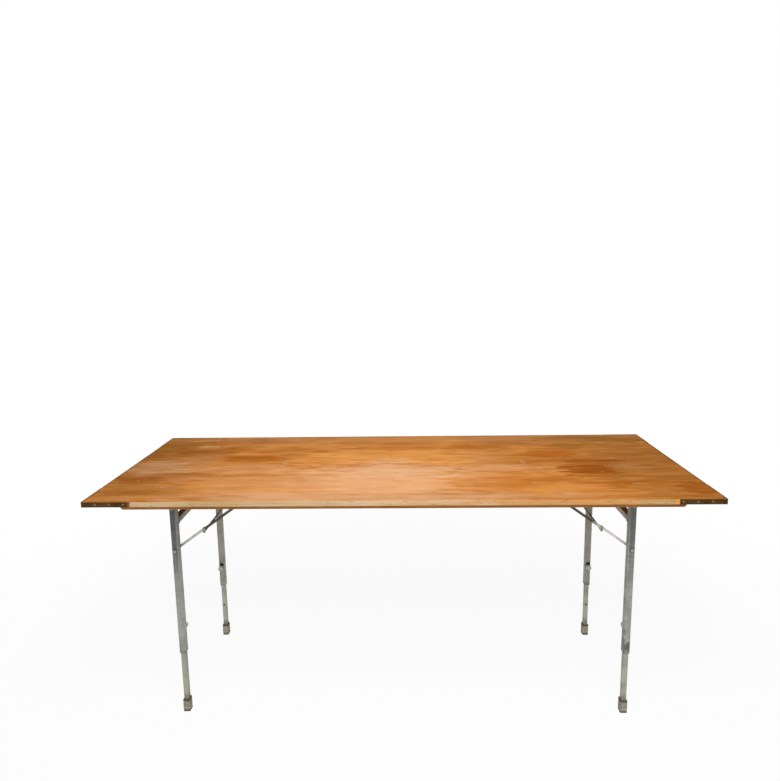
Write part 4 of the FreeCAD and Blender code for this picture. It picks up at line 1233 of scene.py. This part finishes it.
# camera where the photograph was taken from
photoView = {"place": (0.0305, -2.1728, 1.3892), "yaw": -1.702, "down": 9.896, "roll": -0.876,
             "focalPixels": 664.0, "imageWide": 780, "sensor": 36.0}


def addCamera():
    s = photoView
    yaw, down, roll = (math.radians(s[key]) for key in ("yaw", "down", "roll"))
    level = Vector((math.cos(yaw), -math.sin(yaw), 0))
    ahead = Vector((math.sin(yaw) * math.cos(down), math.cos(yaw) * math.cos(down), -math.sin(down)))
    upright = level.cross(ahead)
    across = math.cos(roll) * level + math.sin(roll) * upright
    above = -math.sin(roll) * level + math.cos(roll) * upright
    turned = Matrix((across, above, -ahead)).transposed().to_4x4()
    bpy.ops.object.camera_add()
    camera = bpy.context.object
    camera.matrix_world = Matrix.Translation(s["place"]) @ turned
    camera.data.sensor_fit = "HORIZONTAL"
    camera.data.sensor_width = s["sensor"]
    camera.data.lens = s["focalPixels"] / s["imageWide"] * s["sensor"]
    bpy.context.scene.camera = camera


# pale floor, white surround and soft lamps
studio = {"floorWide": 14.0, "floorBelow": 0.0006, "floorTone": 0.85, "floorGlow": 0.93, "ambient": 0.30,
          "glowFade": (1.0, 2.6), "white": (1.0, 1.0, 1.0, 1.0),
          "lamps": [{"name": "overheadSoftbox", "place": (0.15, -1.7, 2.75), "aim": (0.0, -0.10, 0.60),
                     "size": (1.2, 1.5), "watts": 63.0},
                    {"name": "frontSoftbox", "place": (-0.3, -3.4, 1.5), "aim": (0.0, 0.0, 0.40),
                     "size": (2.0, 1.6), "watts": 25.0}]}


def seesSurround(tree):
    # one for rays that show the background: camera, glossy and transmission
    path = addNode(tree, "LightPath").outputs
    seen = maths(tree, "MAXIMUM", path["Is Camera Ray"], path["Is Glossy Ray"])
    return maths(tree, "MAXIMUM", seen, path["Is Transmission Ray"])


def addSurround():
    s = studio
    scene = bpy.context.scene
    scene.view_settings.view_transform = "Standard"
    world = bpy.data.worlds.new("studioWorld")
    scene.world = world
    world.use_nodes = True
    tree = world.node_tree
    sky = tree.nodes["Background"]
    sky.inputs["Color"].default_value = s["white"]
    level = addNode(tree, "MapRange", {"Value": seesSurround(tree), "To Min": s["ambient"], "To Max": 1.0})
    tree.links.new(level.outputs[0], sky.inputs["Strength"])


def addFloor():
    s = studio
    bpy.ops.mesh.primitive_plane_add(size=s["floorWide"], location=(0, 0, -s["floorBelow"]))
    floor = bpy.context.object
    floor.name = "studioFloor"
    material = bpy.data.materials.new("paleFloor")
    material.use_nodes = True
    tree = material.node_tree
    tree.nodes.clear()
    matt = addNode(tree, "BsdfDiffuse", {"Color": (s["floorTone"],) * 3 + (1.0,)})
    glow = addNode(tree, "Emission", {"Color": s["white"], "Strength": 1.0})
    away = lengthOf(tree, addNode(tree, "TexCoord").outputs["Object"])
    share = times(tree, seesSurround(tree), fade(tree, away, *s["glowFade"], s["floorGlow"], 1.0))
    mixed = addNode(tree, "MixShader", {0: share, 1: matt.outputs[0], 2: glow.outputs[0]})
    surface = addNode(tree, "OutputMaterial", {"Surface": mixed.outputs[0]})
    surface.is_active_output = True
    floor.data.materials.append(material)


def addLamps():
    for lamp in studio["lamps"]:
        bpy.ops.object.light_add(type="AREA", location=lamp["place"])
        light = bpy.context.object
        light.name = lamp["name"]
        light.data.shape = "RECTANGLE"
        light.data.size, light.data.size_y = lamp["size"]
        light.data.energy = lamp["watts"]
        towards = Vector(lamp["aim"]) - Vector(lamp["place"])
        light.rotation_euler = towards.to_track_quat("-Z", "Y").to_euler()


addCamera()
addSurround()
addFloor()
addLamps()
print("camera and studio ready")
